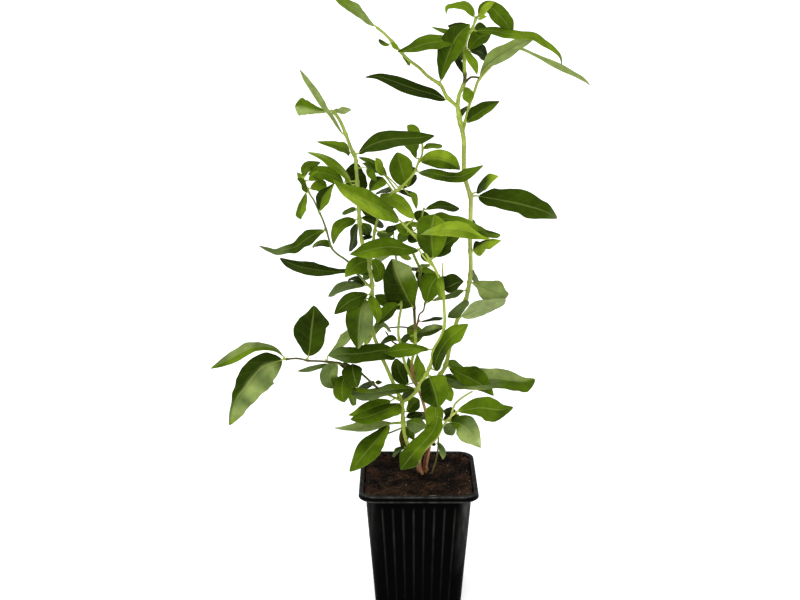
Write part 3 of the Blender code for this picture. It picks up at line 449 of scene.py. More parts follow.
    "low": """
    -5 g/mg/mg/bp/bp/mg/b: -102,195.3 -106,199.5 -112,202 -120,202.3 -128,200.3 -137,195.8 -146,190.8
        -157,185.2 | 0.9,1 1.8 2.4,3.4 3.6,5.2 3.6,3.9 2.8,3.2 1.6,1.8;
    -18 dk/pk/gk/pk/gd/pg/bg: -101.5,192.5 -110,189.8 -118,186.5 -125,179 -131.5,170.5 -138,162 -142,151
        -144.6,139.3 | 9.6,7.2 13.8,8.8 15,9.6 12,8.2 11.5,4.6 9.6,1.6 6.4,0.9;
    8 d/kd/kd/k/d: -83,194.5 -81.5,203 -80.5,212 -79.5,221 -78.5,228 -78,235 | 5.4,6.4 9.4,9.2 12.2,9.6
        12.4,9.8 9.4,11.8 4.2,5.4;
    13 d/g/g: -66,188.8 -74,187 -82,185 -91.5,183.3 | 1.3,1.2 1.5,1.4 1.1;
    -23 pp/pg/dg/dd: -61,188.5 -65,184 -67,179 -66.5,174 -63.5,169.5 | 3.4,4.4 4.6,7.4 5.6,6.6 4.2,4.6;
    -11 k/d/d: -50,189 -49.5,183 -48,177 -46,170 | 6,7 5.6,8.4 3.4,6.8;
    14 m/m/d: -49,176 -50,169 -50.5,162 -50.5,155.5 | 2.5,4 3.5,4 2.4,1.8;
    -8 d/m/m: -56,180 -57.5,173 -58,165 -56,158 | 4.6,5.5 6.5,6 6.2,4.8;
    16 g/p/p/p: -68.5,195 -63,200 -58,205.5 -54,211 -51.5,217 | 1 2,2.2 3.2,3.8 3.4,4;
    23 d: -33,173.5 -38,172 -45,171 | 2.8,2.2 2.4,2;
    30 d: -48,185 -53,178 | 10;
    8 d: -34,174 -27,174.5 | 3.5;
    16 d: -60,188 -46,184 | 6""",
    "dark_twig": """
    49 k: -25,132 -38,121 | 10""",
    "brown": """
    -19 dm/km/km/kp/kp: -4.2,233 -8.8,242 -13,251 -16.8,260.5 -20,270.5 | 11.4,4.8 14.8,9.2 14,11 11.6,10.6
        7.6,9.2;
    16 b: 0,262 15,258.5 | 6;
    23 d: -1,261 -7,264 | 4;
    19 b: 1,263.5 8,266.5 | 4;
    19 b: -3,204.5 -3,210 -3.2,215.5 -3.5,220.5 | 5,5.5 5.2,6 4.6,3.5;
    27 d/d/m: -8,172.5 -13,179 -15.5,186.5 -16.5,193.5 | 6.6,4 5.2 3.2,4.6;
    -10 b: 2,175 1.5,183 0,190 -1,197 | 4.2,3 4.6,3.2 3.4,1.4;
    30 d: -4.5,184 -12,182 | 9;
    30 m: 6,144 -2,151 | 9;
    20 d: -1,253 4,263.5 | 9;
    14 d: -6,211 -15,205.5 | 6;
    16 m: -3,173 -8,195 | 7""",
    "behind": """
    -13 dm: -14,236 -20,232 -26,226 -31.5,219.5 | 2.4,4.6 3.8,6.2 2.6,5.2;
    -21 d/d/d/g: -17,199.5 -28,199.5 -38,197.8 -48,196.8 -58,196.8 -68.3,195.6 | 5.9,4.5 6.6,5 7.6,5.6 8,4.8
        6.4,4.8 4.2,3.8;
    19 d: -15.5,207.5 -23,208 -29.5,204 | 4;
    19 y: -16.5,275 -5,270.5 | 6.5;
    27 p: -19,275 -26,272.75 -33,270.5 | 3 3.4 2.2;
    23 m: -18.5,289 -24.25,289 -30,291 | 2.8,3.6 3,4 2,2.8;
    34 d: -14.5,255 -12,247 | 10;
    10 m: -20,235 -33,243 | 9""",
    "fork": """
    8 m: 6,235.5 7,243 9.5,251 15.5,258.5 | 4.6,5 8.4,8.2 7.4,6.8;
    23 k: 1.5,222 10,223.7 18,225.5 | 0.6,0.5 1.2""",
    "tall": """
    -13 dm: 33.5,371 41,376.5 47,380.5 57,385.8 | 5.4,2 6,3.2 5,3.4 2.6,2.2;
    19 d: 30.5,375 31.5,379 33.5,382.5 | 1.6 1.8;
    -23 d/d/z: 41.4,320 46.3,325.4 51,328.8 57.3,331.8 | 2.4,1.8 3.6,3.8 3.4,4;
    -8 d/d/d/d/d/d/g: 43,317.3 50,316 60,314 70,312 80,309.5 90,306.5 101,300.8 | 6.2,4.6 7.8,5 10,6.2
        11,6.2 9.4,8 6.8,6.2 5,3.2;
    15 d/db: 37,296 44,292.5 51,289.8 59.8,288.8 | 2,3 1.8,3.6 1.2,2.4;
    -23 ky/ky/y: 39.5,276.5 44,280 49,283.5 55,284.4 60.5,284.3 | 4,6.8 1.4,9.4 0.6,8.4 0.6,5;
    -19 dm/gp/gp/pg/gm under: 38.5,252.5 46,249.5 53,246.5 60,244.5 67,243.6 | 2.8,1.4 4.8,6.5 6.4,8.6 8,7.2
        8.8,6 6.6,4.8 1.8,3.4;
    -18 w under: 31,225.5 40,229.5 48,233 56,236.3 64.5,240 | 3,4.2 5.4,5 6.3,4.4 5.8,4.3 3.3,4.2 1.8,2.5;
    -23 g/g/d: 34.5,239.5 32,235 28.5,230.5 25,227 21.5,225.5 | 3.6,1.6 4.3,2.8 4.4,3.2 3.2,2.4;
    2 mg/g/l: 36,246.5 31,245.8 26,243 20,241.2 14,240 9.5,238 | 2.2 1.5,1.4 1.3,1 0.9,0.8;
    -15 md/mm/dm/mm/bm: 23,186.5 32,181 41,176.5 50,170.5 57.3,163.3 | 3.4,3 7,5.6 10.5,7.4 8.6,5 3.6,2.6;
    2 dd/dg/dp/pg/pm/pm/bm: 20,178 32,175.5 45,176.5 58,177.5 70,176 80,175.5 88,177.3 | 4,6 6,6.4 8,7
        7.6,7.8 7.6,8.2 6.2,7.2 2.8,6.4;
    25 dg: 20,178.5 25,177.5 30,176 | 2.6,5 2.4,3.4;
    19 w: 19,170.5 28,171.8 36,171 41,170.3 | 0.8 1.6,1.2 0.9,0.5;
    34 d: 12,165 13,171 | 10;
    34 m: 20.5,188.5 40,181 | 9;
    32 d: 37.5,296 44,291 | 5;
    34 m: 37.7,258 45,252 | 5""",
    "arm": """
    -10 p/b: -30,437.3 -35,440.5 -40,444.5 -46,449 -53,454 -62,460 | 1.3,1.5 1.6,2.8 2.4,4.8 2.4,3.6 1.6,2.4;
    8 b/k: -20.5,426 -23,425 -26,426.5 -28.5,429.5 | 0.8 1 0.9;
    -8 b: -20,427.5 -18,425 -16,421.5 | 1.2 1.3;
    10 b: -13,419.5 -9.5,415 -6.5,411.5 | 1,1.2 1.1,1.3;
    -8 k: 20,386.5 10,390.5 0,393.3 -10,396.7 -20,400.3 -30,403.2 -39,402.6 | 2.9 3.9 4.3 4.1 3.1 1.7;
    -15 dm: 15,400 16.5,407 19,415 22.5,424 27,432 35,439.5 | 3.2,2 6.4,3.4 8.6,6.2 8.6,7.4 5.6""",
    "crest": """
    -11 mb/m/md: 31,429.5 22,428.5 12,427.2 4,426 -5,423 -16,420.3 | 2.6,2.2 3.4,4.2 4.6,5.2 3.8,5 1.6,2;
    -11 b: 38.5,443.5 36.3,447.7 32,451.2 27,452 22,451.8 18.8,450.4 18.4,446 | 2.2 2.6,3.4 1.8,2.2 1.2,1.1
        1;
    -8 y: 40.5,443.5 43.5,447.5 47,451.5 52,455 | 1.4 2.2 1.6;
    -13 y: 40,443 47,444.5 | 3;
    8 m: 41,445 44,450.5 50,450.5 56,445 61,439.5 65,433.2 | 3.2,2.5 4.4 5.6 5.2,5 3.8,3.2;
    20 m/m/b/b/b/g: 39,434.8 50,435 60,432.8 70,431.8 80,431 87,426.8 94,422.3 99,417 100.3,410.7 | 2,1.8
        3.2,2.8 2.8,2.5 2.3,2 2.3,2.2 2,1.9 1.4 0.5;
    19 m: 34,421.5 38,426.5 42.5,430.5 50,432.5 | 4.2,3.2 6.6,4.6 5.2,4.2;
    27 k: 35.5,420.5 41,420.5 48,417 | 3.4,2.4 6,4 4.4,3;
    -17 b: 32.5,422.5 35,417 38,411 40.5,404.5 | 2.2,1.8 3,2.4 2,1.5;
    23 k: 31,405 28.5,410 26.5,415 25,420 | 1.2,1.6 2,2.4 1.8,2;
    16 m: 30,432 20,434 8,437.5 | 1.6 1.2 0.6;
    -17 b: 32,396 34,391.5 35,387.5 35.5,384 | 2.6,2.4 3.8 2.8,3;
    32 dm: 31.6,414 22,425 | 10;
    12 d: 36.5,436.5 47.5,436.5 | 9;
    20 k: 37,434.5 19,438.5 | 9""",
    "spray": """
    -9 g/bg/bg/g under: 42,402 45,408 50,413.5 56,418 63,422 70,426 80,429.3 | 2.2,1.6 5,4.2 5.5,5 5,4.8
        4.2,3.8 2.6,2.2;
    10 p: 59,420 70,422.7 80,418.7 90,414 100,409.5 110,404.5 117,400.5 121,396.8 | 0.5 0.6 0.9 1.6 1.8 1.3
        0.9""",
    "right": """
    -10 b/m/m/m/md/dm: 29.5,151 38,152.3 47,153.8 56,152.8 64,152.3 72.5,154.3 | 3.6,2 6,4 7.2,6 8.2,8.8
        6.2,8.4 2.8,3.6;
    -21 kd/dm/gp/pp/wp: 24,142.5 32,140.5 38.5,135 44.2,128 48.2,121 | 5,3.4 8.9,7.6 7.2,8.4 3.4,5.2;
    19 d: 29,150.5 25,150.2 19.3,151.5 | 4.2,3.6 3.4,2.4;
    -25 b/m/m/bm/d/d: 14.5,147 13.5,139 9,131 3,124 -3,117 -8.5,110 -13.5,103 | 3.6,6.6 4.2,5.4 3.8,6.2
        4,7.4 5.4,7 6,5.6;
    5 bm/b/b: 15,133 13.5,140 13,148 13.5,157.5 | 6.6,3.2 7.2,4.8 6.8,5.4 5.8,5;
    10 g: 27,141.5 24,137 20.5,132.5 | 4.5,3.8 4.6,3.4;
    12 k: 31,148 19,145 | 9""",
    "small": """
    -15 gd/gg/p: 15.8,125.5 18,121 19,116.5 19,111.5 | 1.4,1.6 2,2.6 1.5,2;
    7 d: 15,124.5 9.5,123.5 | 3""",
}


def numbers(text):
    """The groups of numbers in a text, such as the points of a route."""
    return [tuple(float(number) for number in group.split(",")) for group in text.split()]


def mix(low, high, share):
    """The blend of two colours or groups of numbers."""
    return tuple(a + (b - a) * share for a, b in zip(low, high))


def smooth(share):
    """A share from 0 to 1, eased at both ends."""
    share = min(max(share, 0.0), 1.0)
    return share * share * (3 - 2 * share)


def eased(value, low, high):
    """Where a value lies between two others, from 0 to 1 and eased at both ends."""
    return smooth((value - low) / (high - low))


def sight(across, up, depth):
    """The point in space of a reading, at its depth behind the pot's middle plane."""
    across, up = across + READING_SHIFT[0], up + READING_SHIFT[1]
    share = 1 + depth / -VIEWPOINT.y
    return VIEWPOINT + (Vector((across, 0.0, up)) - VIEWPOINT) * share


def smooth_route(points, step):
    """The points of a curve through all of these, about a step apart."""
    route = []
    for i, (start, end) in enumerate(zip(points, points[1:])):
        before, after = points[max(i - 1, 0)], points[min(i + 2, len(points) - 1)]
        parts = max(1, round((end - start).length / step))
        for t in (j / parts for j in range(parts)):
            route.append(0.5 * (
                2 * start + (end - before) * t + (2 * before - 5 * start + 4 * end - after) * t ** 2
                + (3 * start - before - 3 * end + after) * t ** 3))
    return [*route, points[-1]]


@functools.cache
def stem_route(stem):
    """The route of a stem in space. A cane's first stem starts below the soil."""
    cane, *_, readings = STEMS[stem]
    points = [sight(*reading) for reading in numbers(readings)]
    if stem == next(name for name in STEMS if STEMS[name][0] == cane):
        points = [Vector((*FEET[cane], SOIL_TOP - CANE_DEPTH)), Vector((*FEET[cane], SOIL_TOP + 3)), *points]
    return smooth_route(points, STEM_STEP)


def nearest_reading(stem, across, up):
    """The (across, up, depth) on a stem that lies nearest to a place, as seen from the front."""
    readings = numbers(STEMS[stem][-1])
    places = []
    for start, end in zip(readings, readings[1:]):
        run_x, run_z = end[0] - start[0], end[1] - start[1]
        share = ((across - start[0]) * run_x + (up - start[1]) * run_z) / (run_x ** 2 + run_z ** 2)
        places.append(mix(start, end, min(max(share, 0.0), 1.0)))
    return min(places, key=lambda place: math.hypot(place[0] - across, place[1] - up))


def bark_colour(stem, height):
    """The colour of a stem at a height."""
    stops = [(float(stop[:-2]), PALETTE[stop[-1]]) for stop in STEMS[stem][3].split()]
    if height <= stops[0][0]:
        return stops[0][1]
    for (low, first), (high, second) in zip(stops, stops[1:]):
        if height <= high:
            return mix(first, second, eased(height, low, high))
    return stops[-1][1]


class Leaf:
    """One leaf, from its row: where it lies, how it is formed and its colours, with their painted light and
    shade.
    """

    def __init__(self, stem, number, row):
        head, rib, widths = re.split("[:|]", row)
        reach, look, *under = head.split()
        self.reach, self.turned = float(reach), bool(under)
        rib, widths = numbers(rib), [(half[0], half[-1]) for half in numbers(widths)]
        measured = len(widths) > 1
        shown = max(left + right for left, right in widths) if measured else widths[0][0]
        middle = rib[1] if len(rib) == 3 and not measured else mix(rib[0], rib[-1], 0.5)
        self.route, self.form = None, None
        self.lay(nearest_reading(stem, *rib[0]), rib[0], middle, rib[-1], shown)
        if measured:
            self.measure(rib, widths)
        draw = random.Random(f"{stem} {number}")
        self.phase = draw.uniform(0, math.tau)
        self.waves = draw.uniform(1.3, 2.3)
        # The colours by step, left and right, with the light and shade painted into them
        self.colours = [(PALETTE[part[0]], PALETTE[part[-1]]) for part in look.split("/")]

    def lay(self, root_reading, base, middle, tip, shown):
        """Lays the rib from its stalk's root on, and tilts the blade until as much shows as given."""
        self.root = sight(*root_reading)
        depth = root_reading[2] + self.reach * 0.06
        start, end = sight(*base, depth), sight(*tip, depth + self.reach)
        start += (end - start).normalized() * max(0.0, STALK_LEAST - (start - self.root).length)
        self.length = (end - start).length
        arch = ARCH_SHARE * self.length * (1 if self.turned else -1)
        self.points = (start, sight(*middle, (depth + depth + self.reach) / 2 + arch), end)
        self.width = max(shown, BLADE_SHARE * self.length)
        self.tilt = min(math.acos(min(1.0, shown / self.width)), MOST_TILT)
        choices = self.turns(*self.along(0.5))
        self.choice = 0 if choices[0][1].z > choices[1][1].z else 1

    def measure(self, readings, widths):
        """Takes the rib's route and the half widths that show, at even steps from base to tip."""
        first, via, last = (point.y for point in self.points)
        bow = via - (first + last) / 2
        route = []
        for i, reading in enumerate(readings):
            share = i / (len(readings) - 1)
            route.append(sight(*reading, first + (last - first) * share + 4 * bow * share * (1 - share)))
        gap = (route[0] - self.root).length
        if gap < STALK_LEAST:
            route[0] += (route[1] - route[0]).normalized() * (STALK_LEAST - gap)
        self.route = smooth_route(route, RIB_STEP)
        self.points = (self.route[0], self.route[len(self.route) // 2], self.route[-1])
        self.length = sum((b - a).length for a, b in zip(self.route, self.route[1:]))
        flat = math.cos(self.tilt) * math.cos(FOLD)
        rise = math.sin(self.tilt) * EDGE_LIFT * (1 if self.choice else -1) * (-1 if self.turned else 1)
        most = max(self.width * 0.6, 3.0)
        self.form = []
        for step, halves in enumerate(widths, start=1):
            full = self.profile(step / (len(widths) + 1))
            self.form.append([
                min((half + SOFT_EDGE) / max(flat + way * rise, flat * 0.7), most) / full
                for half, way in zip(halves, (1, -1))])

    def turns(self, place, along):
        """For either way of tilting, the directions across the blade and out of its upper face."""
        across = along.cross((VIEWPOINT - place).normalized()).normalized()
        facing = across.cross(along).normalized()
        choices = []
        for side in (-1, 1):
            over = across * math.cos(self.tilt) + side * facing * math.sin(self.tilt)
            out = facing * math.cos(self.tilt) - side * across * math.sin(self.tilt)
            choices.append((over, -out if self.turned else out))
        return choices

    def profile(self, share):
        """The plain outline of a blade, from 0 at its ends to 1 where it is widest."""
        full = max(math.sin(math.pi * share ** (math.log(0.5) / math.log(WIDEST))), 0.0) ** 0.88
        return full * (1 - TIP_SLIM * smooth((share - 0.72) / 0.28))

    def half(self, share, side):
        """Half the width of the blade at a share of its length, on its left or right."""
        full = self.profile(share)
        if not self.form:
            return max(full * self.width, 0.9) / 2
        step = min(max(share * (len(self.form) + 1) - 1, 0.0), len(self.form) - 1.0)
        low, part = int(step), 0 if side < 0 else 1
        before, after = self.form[low][part], self.form[min(low + 1, len(self.form) - 1)][part]
        return max(full * (before + (after - before) * smooth(step - low)), 0.35)

    def rib_point(self, share):
        start, via, end = self.points
        knee = 2 * via - (start + end) / 2
        return (1 - share) ** 2 * start + 2 * share * (1 - share) * knee + share ** 2 * end

    def along(self, share):
        """The place and direction of the rib at a share of its length."""
        if not self.route:
            ahead = self.rib_point(min(share + NEAR, 1)) - self.rib_point(max(share - NEAR, 0))
            return self.rib_point(share), ahead.normalized()
        step = share * (len(self.route) - 1)
        low = min(int(step), len(self.route) - 2)
        before, after = self.route[max(low - 1, 0)], self.route[min(low + 2, len(self.route) - 1)]
        return self.route[low].lerp(self.route[low + 1], step - low), (after - before).normalized()

    def sides(self, share):
        """Where the rib passes, and the directions across the blade and out of its upper face."""
        place, along = self.along(share)
        if share == 0:
            along = (along + (self.points[0] - self.root).normalized()).normalized()
        return place, *self.turns(place, along)[self.choice]

    def surface(self, share, side):
        """A point of the blade at a share of its length and from -1, its left edge, to 1."""
        place, over, out = self.sides(share)
        reach, spread = self.half(share, side), abs(side)
        lift = math.tan(FOLD) * spread - (math.tan(FOLD) - EDGE_LIFT) * spread ** 2.4
        lift += EDGE_WAVE * spread ** 1.6 * math.sin(
            math.tau * self.waves * share + self.phase + (0.0 if side < 0 else 2.1))
        quilt = math.cos(math.tau * (6 * share - 1.5 * spread)) * spread * (1 - spread)
        quilt = QUILT * quilt * min(1.0, self.width / 14) - QUILT * math.exp(-(side / 0.07) ** 2)
        height = reach * lift * smooth(share * 6) + quilt * smooth(share * 8)
        return place + over * side * reach * math.cos(FOLD) + out * height

    def colour(self, share, side):
        # The colour at a share of the length and a place across, painted light and shade included
        place = share * (len(self.colours) - 1)
        part = min(int(place), max(len(self.colours) - 2, 0))
        low, high = self.colours[part], self.colours[min(part + 1, len(self.colours) - 1)]
        left, right = (mix(low[half], high[half], smooth(place - part)) for half in (0, 1))
        return mix(left, right, smooth(0.5 + side * 1.8))


@functools.cache
def leaves_of(stem):
    rows = LEAVES[stem].split(";") if stem in LEAVES else ()
    return [Leaf(stem, number, row) for number, row in enumerate(rows)]


def stems_of(cane):
    return [stem for stem in STEMS if STEMS[stem][0] == cane]


def placed(name, data):
    """An object of this data in the scene."""
    made = bpy.data.objects.new(name, data)
    bpy.context.scene.collection.objects.link(made)
    return made


def add_piece(name, mesh, *replaced, slot):
    """A finished piece that rides on the plant and stands for the named nodes."""
    piece = placed(name, mesh)
    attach(piece, BODY)
    if replaced:
        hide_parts(*replaced)


def mesh_from(name, points, faces=(), edges=(), **values):
    """A mesh in metres from points in millimetres, with a float, vector or colour for each point."""
    mesh = bpy.data.meshes.new(name)
    mesh.from_pydata([tuple(point * MM) for point in points], edges, faces)
    for key, given in values.items():
        if isinstance(given[0], float):
            layer = mesh.attributes.new(key, "FLOAT", "POINT")
            layer.data.foreach_set("value", given)
        elif isinstance(given[0], Vector):
            layer = mesh.attributes.new(key, "FLOAT_VECTOR", "POINT")
            layer.data.foreach_set("vector", [part for vector in given for part in vector])
        else:
            layer = mesh.attributes.new(key, "FLOAT_COLOR", "POINT")
            layer.data.foreach_set("color", [part for colour in given for part in (*colour[:3], 1.0)])
    return mesh


@contextmanager
def opened(mesh):
    """A mesh as a shape to work on, which is written back at the end."""
    shape = bmesh.new()
    shape.from_mesh(mesh)
    yield shape
    shape.to_mesh(mesh)
    shape.free()


def face_out(mesh):
    """Turns every face of closed shells outwards."""
    with opened(mesh) as shape:
        bmesh.ops.recalc_face_normals(shape, faces=shape.faces)
    mesh.shade_smooth()


def evaluated(obj, *helpers):
    """The plain mesh that an object's modifiers make. The object and its helpers go."""
    bpy.context.view_layer.update()
    graph = bpy.context.evaluated_depsgraph_get()
    made = bpy.data.meshes.new_from_object(
        obj.evaluated_get(graph), preserve_all_data_layers=True, depsgraph=graph)
    for each in (obj, *helpers):
        bpy.data.objects.remove(each, do_unlink=True)
    return made


class Nodes:
    """Short ways to add nodes to a tree. Each gives an output of the node that it adds."""

    def __init__(self, tree):
        self.tree = tree

    def add(self, kind, inputs=None, output=0, **settings):
        """Adds a node with its settings, and its inputs as values or as the sockets that feed them."""
        made = self.tree.nodes.new(kind)
        for key, value in settings.items():
            setattr(made, key, value)
        for key, value in (inputs or {}).items():
            if isinstance(value, bpy.types.NodeSocket):
                self.tree.links.new(value, made.inputs[key])
            else:
                made.inputs[key].default_value = value
        return made.outputs[output]

    def sum(self, operation, *parts):
        return self.add("ShaderNodeMath", dict(enumerate(parts)), operation=operation)

    def product(self, first, second):
        return self.sum("MULTIPLY", first, second)

    def scaled(self, vector, scale):
        return self.add("ShaderNodeVectorMath", {0: vector, "Scale": scale}, operation="SCALE")

    def joined(self, x, y, z):
        return self.add("ShaderNodeCombineXYZ", {0: x, 1: y, 2: z})

    def parted(self, vector, axes="XYZ"):
        return [self.add("ShaderNodeSeparateXYZ", {0: vector}, axis) for axis in axes]


class Growth(Nodes):
    """A geometry node tree with named inputs, which turns one mesh into another."""

    def __init__(self, name, **sizes):
        super().__init__(bpy.data.node_groups.new(name, "GeometryNodeTree"))
        face = self.tree.interface
        face.new_socket("Geometry", in_out="OUTPUT", socket_type="NodeSocketGeometry")
        face.new_socket("Geometry", in_out="INPUT", socket_type="NodeSocketGeometry")
        for title, default in sizes.items():
            kind = "NodeSocketInt" if isinstance(default, int) else "NodeSocketFloat"
            title = title.replace("_", " ")
            face.new_socket(title, in_out="INPUT", socket_type=kind).default_value = default
        face.new_socket("Material", in_out="INPUT", socket_type="NodeSocketMaterial")
        self.given = self.tree.nodes.new("NodeGroupInput").outputs

    def named(self, name, kind="FLOAT"):
        return self.add("GeometryNodeInputNamedAttribute", {"Name": name}, "Attribute", data_type=kind)

    def draw(self, seed, low=0.0, high=1.0):
        """A random number or vector between two, which may be sockets."""
        if isinstance(low, float):
            return self.add("FunctionNodeRandomValue", {2: low, 3: high, "Seed": seed}, 1, data_type="FLOAT")
        return self.add("FunctionNodeRandomValue", {0: low, 1: high, "Seed": seed}, data_type="FLOAT_VECTOR")

    def moved(self, geometry, place):
        return self.add("GeometryNodeSetPosition", {"Geometry": geometry, "Position": place})

    def raised(self, geometry, height):
        """Geometry raised along its own normals."""
        offset = self.scaled(self.add("GeometryNodeInputNormal"), height)
        return self.add("GeometryNodeSetPosition", {"Geometry": geometry, "Offset": offset})

    def marked(self, geometry, name, value, domain="POINT"):
        return self.add("GeometryNodeStoreNamedAttribute", {
            "Geometry": geometry, "Name": name, "Value": value}, data_type="FLOAT", domain=domain)

    def rod(self, line, sides, radius, **scale):
        """A closed rod along a curve."""
        ring = self.add("GeometryNodeCurvePrimitiveCircle", {"Resolution": sides, "Radius": radius})
        return self.add("GeometryNodeCurveToMesh", {
            "Curve": line, "Profile Curve": ring, "Fill Caps": True, **scale})

    def set_out(self, points, instance, rotation, scale):
        return self.add("GeometryNodeInstanceOnPoints", {
            "Points": points, "Instance": instance, "Rotation": rotation, "Scale": scale})

    def finish(self, geometry):
        """Ends the tree in real, smooth geometry of one material."""
        real = self.add("GeometryNodeRealizeInstances", {"Geometry": geometry})
        smoothed = self.add("GeometryNodeSetShadeSmooth", {"Geometry": real})
        dressed = self.add("GeometryNodeSetMaterial", {
            "Geometry": smoothed, "Material": self.given["Material"]})
        self.tree.links.new(dressed, self.tree.nodes.new("NodeGroupOutput").inputs[0])
        return self

    def grow(self, mesh, **values):
        """The plain mesh that the tree makes from this one."""
        obj = placed("growing", mesh)
        modifier = obj.modifiers.new("grow", "NODES")
        modifier.node_group = self.tree
        for item in self.tree.interface.items_tree:
            key = item.name.replace(" ", "_")
            if item.in_out == "INPUT" and key in values:
                modifier[item.identifier] = values[key]
        return evaluated(obj)


def rod_growth():
    """Grows a round rod of varying thickness along each line, with a slightly uneven skin."""
    tree = Growth("rods_along_lines", Sides=10, Unevenness=0.05 * MM)
    line = tree.add("GeometryNodeMeshToCurve", {"Mesh": tree.given["Geometry"]})
    rod = tree.rod(line, tree.given["Sides"], 1.0, Scale=tree.named("thickness"))
    bumps = tree.add("ShaderNodeTexNoise", {"Scale": 900.0, "Detail": 2.0})
    height = tree.product(tree.sum("SUBTRACT", bumps, 0.5), tree.given["Unevenness"])
    return tree.finish(tree.raised(rod, height))


def rods(lines, tree, sides, unevenness, material):
    """Rods along lines, each a list of (point, radius, colour)."""
    edges, first = [], 0
    for line in lines:
        edges += [(first + i, first + i + 1) for i in range(len(line) - 1)]
        first += len(line)
    points, radii, tints = zip(*(spot for line in lines for spot in line))
    mesh = mesh_from("lines", points, edges=edges, thickness=[radius * MM for radius in radii], tint=tints)
    return tree.grow(mesh, Sides=sides, Unevenness=unevenness * MM, Material=material)


def stem_line(stem):
    """The route of a stem with its thickness, which swells at each leaf and tapers off at its tip."""
    _, thick, thin, *_ = STEMS[stem]
    route = stem_route(stem)
    line = []
    for i, point in enumerate(route):
        radius = thick + (thin - thick) * i / (len(route) - 1)
        swell = sum(math.exp(-((point - leaf.root).length / SWELL_REACH) ** 2) for leaf in leaves_of(stem))
        radius *= 1 + SWELL * min(swell, MOST_SWELL)
        seen_height = VIEWPOINT.z + (point.z - VIEWPOINT.z) * -VIEWPOINT.y / (point.y - VIEWPOINT.y)
        line.append((point, radius, bark_colour(stem, seen_height)))
    tip, radius, colour = line[-1]
    line.append((tip + (tip - line[-2][0]).normalized() * radius * 0.6, radius * 0.45, colour))
    return line


def stalk_line(leaf):
    """A leaf's stalk and the raised rib that it runs into under the blade. A short leaf's are slim."""
    size = min(1.0, 0.45 + leaf.length / 70)
    green, rib_colour = PALETTE["l"], mix(leaf.colour(0.5, 0), PALETTE["p"], 0.55)
    line = []
    for share in (0.0, 0.2, 0.4, 0.6, 0.8):
        place = leaf.root.lerp(leaf.points[0], share) + Vector((0, 0, math.sin(math.pi * share) * STALK_SAG))
        line.append((place, (STALK_RADIUS - STALK_TAPER * share) * size, green))
    rows = max(6, round(leaf.length / 2.5))
    for share in (row / rows * RIB_END for row in range(rows)):
        place, _, out = leaf.sides(share)
        radius = (RIB_RADIUS - RIB_TAPER * share ** 0.7) * size
        if share:
            place = place - out * (radius * 0.55 + QUILT * smooth(share * 8))
        line.append((place, radius, mix(green, rib_colour, smooth(share * 3))))
    return line


def blade_points(leaf, rows):
    """The points of a blade with their look, by row, column and face. Both faces share its edge."""
    points = {}
    for row in range(rows):
        share = row / rows
        out = leaf.sides(share)[2]
        for column, side in enumerate(CROSS):
            colour = leaf.colour(share, side)
            thick = BLADE_HALF_THICKNESS * math.sqrt(1 - side ** 8)
            thick *= 0.6 + 0.4 * math.sin(math.pi * min(share + 0.15, 1.0))
            seam = abs(side) == 1 or row == 0
            for face, way, under in [(0, 0, 0.5)] if seam else [(0, 1, 0.0), (1, -1, 1.0)]:
                tint = mix(colour, mix(colour, PALETTE["p"], UNDER_PALE), under)
                place = leaf.surface(share, side) + out * thick * way
                points[row, column, face] = place, tint, under, ((side + 1) / 2, share)
    colour = leaf.colour(1.0, 0.0)
    tint = mix(colour, mix(colour, PALETTE["p"], UNDER_PALE), 0.5)
    points[rows, 0, 0] = leaf.surface(1.0, 0.0), tint, 0.5, (0.5, 1.0)
    return points


def blades_mesh(name, leaves):
    """The blades of a cane: closed shells whose upper and lower faces meet at the edge."""
    spots, faces = [], []
    for leaf in leaves:
        rows = max(LEAST_ROWS, round(leaf.length / ROW_LENGTH))
        points = blade_points(leaf, rows)
        index = {key: len(spots) + i for i, key in enumerate(points)}
        spots += points.values()
        for row in range(rows):
            for column in range(len(CROSS) - 1):
                for face in (0, 1):
                    corners = []
                    for r, c in ((row, column), (row, column + 1), (row + 1, column + 1), (row + 1, column)):
                        key = (r, 0, 0) if r == rows else (r, c, face)
                        corner = index.get(key, index.get((r, c, 0)))
                        if corner not in corners:
                            corners.append(corner)
                    faces.append(corners[::-1] if face else corners)
    places, tints, unders, maps = zip(*spots)
    mesh = mesh_from(name, places, faces, tint=tints, under=unders)
    layer = mesh.uv_layers.new(name="blade")
    layer.data.foreach_set("uv", [part for loop in mesh.loops for part in maps[loop.vertex_index]])
    face_out(mesh)
    return mesh


def bud_growth():
    """Grows a small pointed bud on each point, along its aim."""
    tree = Growth("buds_on_points")
    ball = tree.add("GeometryNodeMeshUVSphere", {"Segments": 8, "Rings": 6, "Radius": 1.0})
    x, y, z = tree.parted(tree.add("GeometryNodeInputPosition"))
    taper = tree.add("ShaderNodeMapRange", {
        "Value": z, "From Min": -1.0, "From Max": 1.0, "To Min": 0.62, "To Max": 0.2})
    bud = tree.moved(ball, tree.joined(tree.product(x, taper), tree.product(y, taper), tree.product(z, 1.2)))
    aim = tree.named("aim", "FLOAT_VECTOR")
    turn = tree.add("FunctionNodeAlignRotationToVector", {"Vector": aim}, axis="Z")
    return tree.finish(tree.set_out(tree.given["Geometry"], bud, turn, tree.named("girth")))


